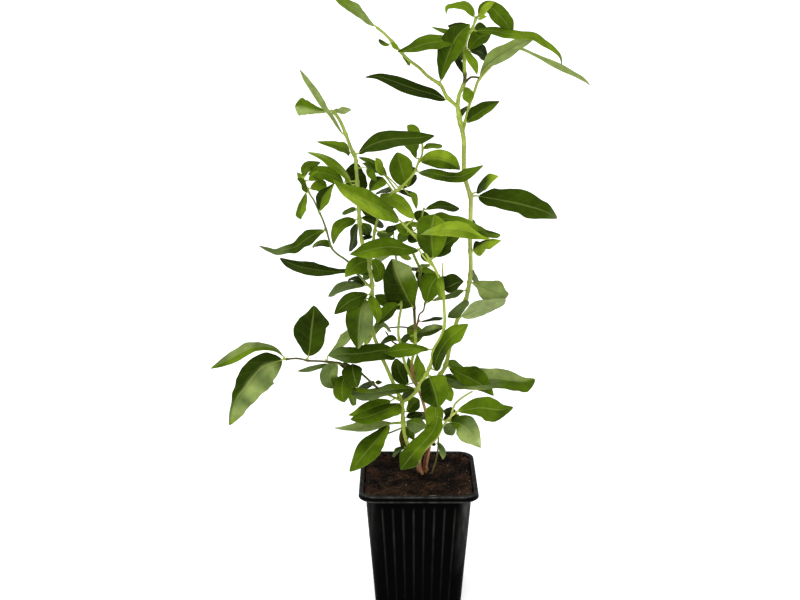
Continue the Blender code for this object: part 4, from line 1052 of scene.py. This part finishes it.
def buds():
    """A bud at the end of each stem and in the angle of each longer leaf: its place, aim, girth and tint."""
    draw = random.Random(7)
    for stem in STEMS:
        route = stem_route(stem)
        end = (route[-1] - route[-2]).normalized()
        if stem != BUDLESS:
            tint = mix(bark_colour(stem, math.inf), PALETTE["b"], 0.35)
            yield route[-1] + end * 0.9, end, END_BUD * MM, tint
        for leaf in leaves_of(stem):
            if leaf.length < BUD_LEAF_LENGTH:
                continue
            near = min(range(1, len(route)), key=lambda i: (route[i] - leaf.root).length)
            up = (route[near] - route[near - 1]).normalized()
            away = (leaf.points[0] - leaf.root).normalized()
            girth = draw.uniform(*SIDE_BUD) * MM
            tint = mix(PALETTE["l"], PALETTE["u"], draw.uniform(0.0, 0.5))
            yield leaf.root + away * 1.35 + up, (up + away * 0.5).normalized(), girth, tint


def wall_half(height):
    """Half the width of the pot's outer wall at a height."""
    return BASE_HALF + (WALL_TOP_HALF - BASE_HALF) * height / WALL_HEIGHT


def side_stations():
    """Places along one straight side of the wall, at the scale of the wall's top."""
    middle = (RIBS_PER_SIDE - 1) / 2
    places = [-SIDE_END]
    for rib in range(RIBS_PER_SIDE):
        centre = (rib - middle) * RIB_PITCH
        places += [centre + step for step in RIB_COLUMNS]
        places.append(centre + RIB_PITCH / 2 if rib < RIBS_PER_SIDE - 1 else SIDE_END)
    return places


def square_ring(places, half, radius, corner_steps, scale=1.0):
    """The (x, y) round a square with round corners, each with its place along a side or None."""
    straight = half - radius
    flat = [(place * straight / scale, -half, place) for place in places]
    for step in range(corner_steps + 1):
        angle = math.radians(-90 + 90 * step / corner_steps)
        flat.append((straight + radius * math.cos(angle), -straight + radius * math.sin(angle), None))
    turns = [(math.cos(angle), math.sin(angle)) for angle in (0, math.pi / 2, math.pi, math.pi * 1.5)]
    return [(x * cos - y * sin, x * sin + y * cos, place) for cos, sin in turns for x, y, place in flat]


def band(first, second, count):
    """The faces between two rings of points, by the number of their first points."""
    return [(first + i, second + i, second + (i + 1) % count, first + (i + 1) % count) for i in range(count)]


def pot_mesh():
    """The plain pot, with the place of each wall point along its side, how far the ribs show there and its
    painted highlight.
    """
    def upright(height, inset, corner):
        return height, wall_half(height) - inset, corner + height / WALL_HEIGHT

    walls = [*FOOT_RINGS, *(upright(height, 0.0, CORNER - 1) for height in WALL_HEIGHTS)]
    inside = [upright(height, WALL, CORNER - 2) for height in INNER_HEIGHTS]
    inside.append((FLOOR, wall_half(FLOOR) - WALL - 0.8, CORNER - 2.6))
    rings = [*walls, *RIM_RINGS, *inside]
    points, places, shows, rubs = [], [], [], []
    for number, (height, half, radius) in enumerate(rings):
        outside = number < len(walls)
        rim = not outside and number < len(walls) + len(RIM_RINGS) - RIM_RINGS_INSIDE
        rise = smooth((height - RIB_FOOT) / RIB_RISE) * smooth((RIB_TOP - height) / RIB_FADE)
        rise *= LOW_RIBS + (1 - LOW_RIBS) * eased(height, *LOW_RIB_HEIGHTS)
        # Painted highlights: a line along each edge of the rim, and a band down each corner that grows
        # upwards, stronger on the right corners than on the left
        edge = RIM_HIGHLIGHT * max(math.exp(-((height - highlight) / 0.5) ** 2) for highlight in RIM_HIGHLIGHT_HEIGHTS) if rim else 0.0
        for x, y, place in square_ring(side_stations(), half, radius, CORNER_STEPS, WALL_TOP_HALF - CORNER):
            corner = smooth(1 - abs(abs(x) - abs(y)) / CORNER_BAND) * CORNER_HIGHLIGHTS[x <= 0] if outside else 0.0
            points.append(Vector((x, y, height)))
            places.append(place or 0.0)
            shows.append(rise if outside and place is not None else 0.0)
            rubs.append(max(edge, corner * eased(height, *CORNER_HIGHLIGHT_HEIGHTS)))
    count = len(points) // len(rings)
    faces = [face for ring in range(len(rings) - 1) for face in band(ring * count, (ring + 1) * count, count)]
    faces += [tuple(range(count)), tuple(range(len(points) - count, len(points)))]
    mesh = mesh_from("pot_wall", points, faces, along=places, shown=shows, rub=rubs)
    face_out(mesh)
    return mesh


def rib_growth():
    """Raises evenly spaced upright ribs from a wall, whose points know their place along their side, and
    paints a highlight along their crests.
    """
    tree = Growth("ribs_on_walls", Rib_Pitch=RIB_PITCH, Rib_Half_Width=RIB_HALF_WIDTH, Rib_Height=0.6 * MM)
    pitch = tree.given["Rib Pitch"]
    turns = tree.sum("FRACT", tree.sum("DIVIDE", tree.named("along"), pitch))
    away = tree.product(tree.sum("ABSOLUTE", tree.sum("SUBTRACT", turns, 0.5)), pitch)
    share = tree.sum("MINIMUM", tree.sum("DIVIDE", away, tree.given["Rib Half Width"]), 1.0)
    crest = tree.sum("MULTIPLY_ADD", tree.sum("COSINE", tree.product(share, math.pi)), 0.5, 0.5)
    ridge = tree.product(crest, tree.named("shown"))
    raised = tree.raised(tree.given["Geometry"], tree.product(ridge, tree.given["Rib Height"]))
    # Painted highlight along the rib crests, kept together with the painted highlights of the rim and corners
    highlight = tree.sum("MAXIMUM", tree.named("rub"), tree.product(tree.sum("POWER", ridge, 1.5), RIB_HIGHLIGHT))
    return tree.finish(tree.marked(raised, "rub", highlight))


def drill(mesh, places):
    """The mesh with a round hole through its floor at each place."""
    body, drills = placed("drilled", mesh), []
    for x, y in places:
        bit = bpy.data.meshes.new("drill")
        with opened(bit) as shape:
            bmesh.ops.create_cone(
                shape, cap_ends=True, segments=32, radius1=DRAIN_RADIUS * MM, radius2=DRAIN_RADIUS * MM,
                depth=FLOOR * 3 * MM)
            bmesh.ops.translate(shape, verts=shape.verts, vec=Vector((x, y, FLOOR / 2)) * MM)
        drills.append(placed("drill", bit))
        hole = body.modifiers.new("hole", "BOOLEAN")
        hole.operation = "DIFFERENCE"
        hole.object = drills[-1]
    return evaluated(body, *drills)


def soil_height(x, y):
    """The soil's uneven top: gentle waves, a heap round the canes, and crumbly lumps."""
    heap = HEAP * math.exp(-((x - HEAP_PLACE[0]) ** 2 + (y - HEAP_PLACE[1]) ** 2) / HEAP_SPREAD)
    wave = math.sin(x * 0.23 + 0.7) * math.cos(y * 0.19) + 0.6 * math.sin(x * 0.41 - y * 0.37)
    lumps = noise.fractal(Vector((x * 0.16, y * 0.16, 3.0)), 0.9, 2.1, 3)
    grains = 0.6 * noise.fractal(Vector((x * 0.7, y * 0.7, 9.0)), 0.8, 2.3, 3)
    open_top = BED_TOP + heap + SOIL_WAVE * wave + lumps + grains
    edge = BED_EDGE + BACK_RISE * eased(y, -5, 35) + 0.3 * grains
    return open_top + (edge - open_top) * eased(max(abs(x), abs(y)), *EDGE_BAND)


def soil_meshes():
    """The whole block of soil, closed, and its top alone for scattering on."""
    places = [2 * i / BED_SIDE_STEPS - 1 for i in range(BED_SIDE_STEPS)]
    outline = square_ring(places, BED_HALF, BED_CORNER, BED_CORNER_STEPS)
    count = len(outline)
    points = [Vector((0.0, 0.0, soil_height(0, 0)))]
    faces = [(0, 1 + i, 1 + (i + 1) % count) for i in range(count)]
    for row in range(1, BED_ROWS + 1):
        share = row / BED_ROWS
        points += [Vector((x * share, y * share, soil_height(x * share, y * share))) for x, y, _ in outline]
        if row > 1:
            faces += band(len(points) - 2 * count, len(points) - count, count)
    top = mesh_from("soil_top", points, faces)
    with opened(top) as shape:
        bmesh.ops.recalc_face_normals(shape, faces=shape.faces)
        if sum(face.normal.z for face in shape.faces) < 0:
            bmesh.ops.reverse_faces(shape, faces=shape.faces)
    for height in (BLOCK_TOP, FLOOR + FIT_GAP):
        scale = (wall_half(height) - WALL - FIT_GAP) / BED_HALF
        points += [Vector((x * scale, y * scale, height)) for x, y, _ in outline]
        faces += band(len(points) - 2 * count, len(points) - count, count)
    faces.append(tuple(range(len(points) - count, len(points))))
    block = mesh_from("soil_block", points, faces)
    face_out(block)
    return block, top


def scatter_growth(name, form):
    """Scatters small things over a sheet, each turned and sized at random, with a random shade."""
    tree = Growth(name, Density=1000.0, Least_Size=0.5 * MM, Largest_Size=1.5 * MM, Tilt=3.2, Seed=1)
    spread = tree.add("GeometryNodeDistributePointsOnFaces", {
        "Mesh": tree.given["Geometry"], "Density": tree.given["Density"], "Seed": tree.given["Seed"]})
    size = tree.add("ShaderNodeMapRange", {
        "Value": tree.sum("POWER", tree.draw(11), 2.2), "To Min": tree.given["Least Size"],
        "To Max": tree.given["Largest Size"]})
    scale = tree.scaled(tree.draw(12, (0.65, 0.55, 0.4), (1.2, 1.0, 0.8)), size)
    tilt = tree.given["Tilt"]
    lean = tree.product(tilt, -1.0)
    angles = tree.draw(13, tree.joined(lean, lean, -math.pi), tree.joined(tilt, tilt, math.pi))
    things = tree.set_out(spread, form(tree), tree.add("FunctionNodeEulerToRotation", {0: angles}), scale)
    return tree.finish(tree.marked(things, "shade", tree.draw(14), "INSTANCE"))


def crumb(tree):
    """A small angular lump."""
    ball = tree.add("GeometryNodeMeshIcoSphere", {"Radius": 1.0, "Subdivisions": 1})
    rough = tree.sum("ADD", tree.add("ShaderNodeTexNoise", {"Scale": 1.6, "Detail": 1.0}), 0.1)
    return tree.moved(ball, tree.scaled(tree.add("GeometryNodeInputPosition"), rough))


def fibre(tree):
    """A bent root fibre, one unit long."""
    bow = tree.add("GeometryNodeCurveQuadraticBezier", {
        "Resolution": 6, "Start": (-0.5, 0.0, 0.0), "Middle": (0.05, 0.5, 0.28), "End": (0.5, -0.05, 0.02)})
    return tree.rod(bow, 4, 0.02)


class Finish(Nodes):
    """A material in the making: its node tree, its shader and short ways to add nodes."""

    def __init__(self, name, **sockets):
        self.material = bpy.data.materials.new(name)
        self.material.use_nodes = True
        super().__init__(self.material.node_tree)
        self.shader = self.tree.nodes["Principled BSDF"].inputs
        for key, value in sockets.items():
            self.shader[key.replace("_", " ")].default_value = value

    def blend(self, share, low, high):
        """A blend of two colours, each a colour or a socket."""
        ends = [end if isinstance(end, bpy.types.NodeSocket) else (*end, 1.0) for end in (low, high)]
        return self.add("ShaderNodeMix", {0: share, 6: ends[0], 7: ends[1]}, 2, data_type="RGBA")

    def between(self, value, low, high, start=0.0, end=1.0):
        """Takes a value from the range low to high on to the range start to end, eased at both ends."""
        return self.add("ShaderNodeMapRange", {
            "Value": value, "From Min": low, "From Max": high, "To Min": start, "To Max": end},
            interpolation_type="SMOOTHSTEP")

    def place(self):
        return self.add("ShaderNodeTexCoord", output="Object")

    def grain(self, scale, detail=3.0, stretch=1.0):
        """Noise on the piece's own coordinates, with features per metre and their share upwards."""
        place = self.add("ShaderNodeMapping", {"Vector": self.place(), "Scale": (1, 1, stretch)})
        return self.add("ShaderNodeTexNoise", {"Vector": place, "Scale": scale, "Detail": detail})

    def cells(self, scale, feature="DISTANCE_TO_EDGE"):
        return self.add("ShaderNodeTexVoronoi", {"Vector": self.place(), "Scale": scale}, feature=feature)

    def attribute(self, name, output="Fac"):
        return self.add("ShaderNodeAttribute", output=output, attribute_name=name)

    def dress(self, colour, roughness, relief, strength, distance):
        """Feeds the shader, with a bump of this relief, and gives the material."""
        bump = self.add("ShaderNodeBump", {"Height": relief, "Strength": strength, "Distance": distance * MM})
        for key, socket in (("Base Color", colour), ("Roughness", roughness), ("Normal", bump)):
            self.tree.links.new(socket, self.shader[key])
        return self.material


def blade_finish(gloss):
    """Glossy leaf with a pale midrib, side veins, a fine net between them and a duller underside."""
    leaf = Finish("leaf_blade", Specular_IOR_Level=0.01)
    across, along = leaf.parted(leaf.add("ShaderNodeUVMap", uv_map="blade"), "XY")
    edge = leaf.product(leaf.sum("ABSOLUTE", leaf.sum("SUBTRACT", across, 0.5)), 2.0)
    shift = leaf.product(leaf.sum("GREATER_THAN", across, 0.5), 0.42)
    sweep = leaf.sum("SUBTRACT", leaf.product(along, 6.5), leaf.product(edge, 1.35))
    sweep = leaf.sum("ADD", leaf.sum("ADD", sweep, shift), leaf.product(leaf.grain(140, 1.0), 0.35))
    away = leaf.sum("ABSOLUTE", leaf.sum("SUBTRACT", leaf.sum("FRACT", sweep), 0.5))
    side_vein = leaf.between(away, 0.0, 0.085, 1.0, 0.0)
    side_vein = leaf.product(side_vein, leaf.between(edge, 0.78, 0.95, 1.0, 0.0))
    midrib = leaf.between(edge, 0.035, 0.085, 1.0, 0.0)
    net = leaf.between(leaf.cells(950.0), 0.0, 0.05, 1.0, 0.0)
    veins = leaf.sum("MAXIMUM", midrib, leaf.product(side_vein, 0.22))
    lines = leaf.sum("MAXIMUM", veins, leaf.product(net, 0.08))
    mottle = leaf.between(leaf.grain(160, 4.0), 0.3, 0.7, 0.84, 1.14)
    patch = leaf.between(leaf.grain(45, 2.0), 0.35, 0.65, 0.9, 1.1)
    shaded = leaf.scaled(leaf.attribute("tint", "Color"), leaf.product(mottle, patch))
    pale = leaf.blend(0.42, shaded, (0.36, 0.44, 0.10))
    veined = leaf.blend(leaf.product(lines, 0.45), shaded, pale)
    colour = leaf.blend(leaf.between(edge, 0.955, 1.0, 0.0, 0.35), veined, pale)
    sheen = leaf.between(leaf.grain(300, 3.0), 0.3, 0.7, gloss, gloss + 0.14)
    roughness = leaf.sum("ADD", sheen, leaf.product(leaf.attribute("under"), 0.24))
    relief = leaf.sum("SUBTRACT", leaf.product(leaf.grain(2200, 2.0), 0.35), veins)
    return leaf.dress(colour, roughness, relief, 0.35, 0.12)


def bark_finish(name, roughness, streaks):
    """Young bark or stalk: its own tint with lengthwise streaks and small speckles."""
    bark = Finish(name, Specular_IOR_Level=0.015)
    streak = bark.between(bark.grain(1500, 3.0, 0.12), 0.3, 0.7, 1 - streaks, 1 + streaks * 0.8)
    drift = bark.between(bark.grain(70, 2.0), 0.35, 0.65, 0.88, 1.1)
    shaded = bark.scaled(bark.attribute("tint", "Color"), bark.product(streak, drift))
    speck = bark.between(bark.cells(520.0, "F1"), 0.12, 0.2, 0.55, 0.0)
    rough = bark.between(bark.grain(800, 2.0), 0.3, 0.7, roughness - 0.06, roughness + 0.1)
    speckled = bark.blend(speck, shaded, (0.13, 0.08, 0.03))
    return bark.dress(speckled, rough, bark.grain(1800, 3.0, 0.2), 0.4, 0.15)


def plastic_finish(colour):
    """Black moulded plastic, faintly grained and dusty, with painted highlights on its ribs, rim edges and
    corners.
    """
    plastic = Finish("black_plastic_moulded", Specular_IOR_Level=0.01)
    # Painted highlight: the pot's highlight attribute, broken up by noise, blends the colour towards light
    # grey
    highlight_mottle = plastic.between(plastic.grain(240, 4.0, 0.25), 0.3, 0.75, 0.35, 1.25)
    rubbed = plastic.blend(plastic.product(plastic.attribute("rub"), highlight_mottle), colour, (0.060, 0.062, 0.058))
    dust = plastic.between(plastic.grain(60, 5.0), 0.6, 0.9, 0.0, 0.06)
    rough = plastic.between(plastic.grain(420, 4.0), 0.3, 0.7, 0.3, 0.45)
    dusty = plastic.blend(dust, rubbed, (0.030, 0.026, 0.022))
    return plastic.dress(dusty, rough, plastic.grain(3200, 3.0), 0.12, 0.1)


def peat_finish(name, dark, light, by_piece):
    """Damp peat, from nearly black to brown with rusty patches. Scattered bits each have a shade."""
    peat = Finish(name, Specular_IOR_Level=0.1)
    broad = peat.between(peat.grain(75, 3.0), 0.38, 0.62)
    shade = peat.attribute("shade") if by_piece else peat.between(peat.grain(1300, 4.0), 0.3, 0.7)
    base = peat.blend(peat.product(shade, broad), dark, light)
    rusty = peat.between(peat.grain(190, 2.0), 0.52, 0.66, 0.0, 0.5)
    colour = peat.blend(peat.product(rusty, broad), base, (0.075, 0.026, 0.018))
    if by_piece:
        colour = peat.blend(peat.between(shade, 0.988, 0.992), colour, (0.30, 0.27, 0.21))
    rough = peat.between(peat.grain(700, 2.0), 0.3, 0.7, 0.7, 0.95)
    return peat.dress(colour, rough, peat.grain(1600, 4.0), 0.7, 0.4)


def floor_finish(brightness):
    """A smooth pale floor."""
    ground = Finish("pale_floor", Specular_IOR_Level=0.1, Roughness=0.75, Emission_Strength=0.4)
    level = ground.between(ground.grain(3.0, 2.0), 0.3, 0.7, brightness - 0.01, brightness)
    grey = ground.add("ShaderNodeCombineColor", {0: level, 1: level, 2: level})
    ground.tree.links.new(grey, ground.shader["Base Color"])
    return ground.material


class BlueberrySettings(bpy.types.PropertyGroup):
    """Sizes and finishes of the bush that a user would change."""

    gloss: FloatProperty(
        name="Leaf Gloss", description="Roughness of the leaves' upper face", default=0.36, min=0.05,
        max=1.0, subtype="FACTOR")
    rib_height: FloatProperty(
        name="Rib Height", description="How far the pot's ribs stand out of its wall", default=0.6 * MM,
        min=0.0, max=2 * MM, precision=5, unit="LENGTH")
    crumbs: IntProperty(
        name="Crumbs", description="Peat crumbs per square metre of soil", default=420000, min=0, max=900000)
    fibres: IntProperty(
        name="Fibres", description="Root fibres per square metre of soil", default=110000, min=0, max=400000)
    plastic: FloatVectorProperty(
        name="Plastic", description="Colour of the pot", default=(0.0006, 0.0006, 0.0006), size=3,
        min=0.0, max=1.0, subtype="COLOR")
    peat_dark: FloatVectorProperty(
        name="Dark Peat", description="Colour of the soil's hollows", default=(0.0042, 0.0024, 0.0015),
        size=3, min=0.0, max=1.0, subtype="COLOR")
    peat_light: FloatVectorProperty(
        name="Light Peat", description="Colour of the soil's crests", default=(0.046, 0.024, 0.011),
        size=3, min=0.0, max=1.0, subtype="COLOR")
    floor: FloatProperty(
        name="Floor", description="Brightness of the floor", default=0.97, min=0.0, max=1.0,
        subtype="FACTOR")
    lamps: FloatProperty(
        name="Lamps", description="Strength of the studio lamps beside their usual power", default=1.0,
        min=0.0, max=10.0)


class BLUEBERRY_OT_pot(bpy.types.Operator):
    """Add the ribbed nursery pot"""

    bl_idname = "blueberry.pot"
    bl_label = "Pot"

    def execute(self, context):
        look = context.scene.blueberry
        walls = rib_growth().grow(
            pot_mesh(), Rib_Height=look.rib_height, Material=plastic_finish(look.plastic))
        places = [(x * DRAIN_PLACE, y * DRAIN_PLACE) for x in (-1, 1) for y in (-1, 1)]
        add_piece("pot_shell", drill(walls, places), "pot", slot="black_plastic")
        return {"FINISHED"}


class BLUEBERRY_OT_soil(bpy.types.Operator):
    """Add the peat with its crumbs and fibres"""

    bl_idname = "blueberry.soil"
    bl_label = "Soil"

    def execute(self, context):
        look = context.scene.blueberry
        block, top = soil_meshes()
        block.materials.append(peat_finish("peat_bed", look.peat_dark, look.peat_light, False))
        add_piece("soil_block", block, "soil", slot="peat")
        bits = peat_finish("peat_crumb", look.peat_dark, look.peat_light, True)
        strands = peat_finish("peat_fibre", (0.040, 0.018, 0.012), (0.20, 0.11, 0.06), True)
        sheets = (
            ("soil_crumbs", crumb, 0.45, 1.5, 3.2, look.crumbs, 3, bits),
            ("soil_lumps", crumb, 1.3, 2.4, 3.2, look.crumbs / 16, 8, bits),
            ("soil_fibres", fibre, 3.0, 11.0, 0.75, look.fibres, 5, strands))
        for name, form, least, largest, tilt, density, seed, material in sheets:
            made = scatter_growth(name + "_scattered", form).grow(
                top.copy(), Density=density, Least_Size=least * MM, Largest_Size=largest * MM, Tilt=tilt,
                Seed=seed, Material=material)
            add_piece(name, made, slot="peat")
        return {"FINISHED"}


class BLUEBERRY_OT_crown(bpy.types.Operator):
    """Add the woody knuckle at the foot of the canes"""

    bl_idname = "blueberry.crown"
    bl_label = "Crown"

    def execute(self, context):
        lines = []
        for line in map(numbers, CROWN):
            route = smooth_route([Vector(place[:3]) for place in line], CROWN_STEP)
            wood = []
            for i, point in enumerate(route):
                share = i / (len(route) - 1)
                part = min(int(share * (len(line) - 1)), len(line) - 2)
                sizes = line[part][3:], line[part + 1][3:]
                radius, = mix(*sizes, share * (len(line) - 1) - part)
                wood.append((point, radius, mix(PALETTE["h"], PALETTE["t"], smooth(share))))
            lines.append(wood)
        made = rods(lines, rod_growth(), 14, 1.6, bark_finish("crown_wood", 0.62, 0.35))
        add_piece("woody_crown", made, slot="left_cane_green")
        return {"FINISHED"}


class BLUEBERRY_OT_stems(bpy.types.Operator):
    """Add the stems of every cane"""

    bl_idname = "blueberry.stems"
    bl_label = "Stems"

    def execute(self, context):
        tree, bark = rod_growth(), bark_finish("young_bark", 0.46, 0.2)
        for cane in FEET:
            lines = [stem_line(stem) for stem in stems_of(cane)]
            add_piece(cane + "_stems", rods(lines, tree, 12, 0.16, bark), cane, slot=cane + "_green")
        return {"FINISHED"}


class BLUEBERRY_OT_stalks(bpy.types.Operator):
    """Add the stalks and the raised ribs of the leaves"""

    bl_idname = "blueberry.stalks"
    bl_label = "Stalks"

    def execute(self, context):
        tree, skin = rod_growth(), bark_finish("leaf_stalk", 0.45, 0.08)
        for cane in FEET:
            lines = [stalk_line(leaf) for stem in stems_of(cane) for leaf in leaves_of(stem)]
            add_piece(cane + "_stalks", rods(lines, tree, 7, 0.0, skin), cane, slot=cane + "_green")
        return {"FINISHED"}


class BLUEBERRY_OT_leaves(bpy.types.Operator):
    """Add the blades of every leaf"""

    bl_idname = "blueberry.leaves"
    bl_label = "Leaves"

    def execute(self, context):
        skin = blade_finish(context.scene.blueberry.gloss)
        for cane in FEET:
            leaves = [leaf for stem in stems_of(cane) for leaf in leaves_of(stem)]
            mesh = blades_mesh(cane + "_blades", leaves)
            mesh.materials.append(skin)
            add_piece(cane + "_leaves", mesh, cane, slot=cane + "_green")
        return {"FINISHED"}


class BLUEBERRY_OT_buds(bpy.types.Operator):
    """Add the buds in the leaves' angles and at the stems' ends"""

    bl_idname = "blueberry.buds"
    bl_label = "Buds"

    def execute(self, context):
        places, aims, girths, tints = zip(*buds())
        mesh = mesh_from("bud_places", places, aim=aims, girth=girths, tint=tints)
        made = bud_growth().grow(mesh, Material=bark_finish("bud_scale", 0.5, 0.12))
        add_piece("buds", made, slot="left_cane_green")
        return {"FINISHED"}


class BLUEBERRY_OT_stage(bpy.types.Operator):
    """Set the pale floor, the soft lamps and the camera"""

    bl_idname = "blueberry.stage"
    bl_label = "Stage"

    def execute(self, context):
        scene = context.scene
        ground = bpy.data.meshes.new("floor")
        with opened(ground) as shape:
            bmesh.ops.create_circle(shape, cap_ends=True, segments=96, radius=FLOOR_RADIUS)
        ground.materials.append(floor_finish(scene.blueberry.floor))
        placed("floor", ground)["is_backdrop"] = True
        scene.world = bpy.data.worlds.new("studio")
        scene.world.use_nodes = True
        walls = scene.world.node_tree.nodes["Background"].inputs
        walls["Color"].default_value = (1.0, 1.0, 1.0, 1.0)
        walls["Strength"].default_value = SKY
        for name, side, spread, power in LAMPS:
            lamp = bpy.data.lights.new(name, "SUN")
            lamp.angle = math.radians(spread)
            lamp.energy = power * scene.blueberry.lamps
            holder = placed(name, lamp)
            holder.location = side
            holder.rotation_euler = (-Vector(side)).to_track_quat("-Z", "Y").to_euler()
        view = bpy.data.cameras.new("camera")
        view.sensor_width = SENSOR_WIDTH
        view.lens = LENS
        view.clip_start = 0.01
        scene.camera = placed("camera", view)
        scene.camera.location = VIEWPOINT * MM
        scene.camera.rotation_euler = (math.pi / 2 - VIEW_DOWN, 0.0, 0.0)
        scene.view_settings.view_transform = "Standard"
        scene.view_settings.look = "None"
        return {"FINISHED"}


STEPS = (
    BLUEBERRY_OT_pot, BLUEBERRY_OT_soil, BLUEBERRY_OT_crown, BLUEBERRY_OT_stems, BLUEBERRY_OT_stalks,
    BLUEBERRY_OT_leaves, BLUEBERRY_OT_buds, BLUEBERRY_OT_stage)


class BLUEBERRY_PT_panel(bpy.types.Panel):
    """The bush's pieces and settings"""

    bl_idname = "BLUEBERRY_PT_panel"
    bl_label = "Potted Blueberry Bush"
    bl_space_type = "VIEW_3D"
    bl_region_type = "UI"
    bl_category = "Blueberry"

    def draw(self, context):
        column = self.layout.column()
        for name in BlueberrySettings.__annotations__:
            column.prop(context.scene.blueberry, name)
        for step in STEPS:
            column.operator(step.bl_idname)


CLASSES = (BlueberrySettings, *STEPS, BLUEBERRY_PT_panel)


def register():
    for each in CLASSES:
        bpy.utils.register_class(each)
    bpy.types.Scene.blueberry = PointerProperty(type=BlueberrySettings)


def unregister():
    del bpy.types.Scene.blueberry
    for each in reversed(CLASSES):
        bpy.utils.unregister_class(each)


def main():
    register()
    for step in STEPS:
        group, name = step.bl_idname.split(".")
        getattr(getattr(bpy.ops, group), name)()
    boxes = {"cad": CAD_BOX, "visual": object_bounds()}
    {name: [list(corner) for corner in box] for name, box in boxes.items()}


if __name__ == "__main__":
    main()
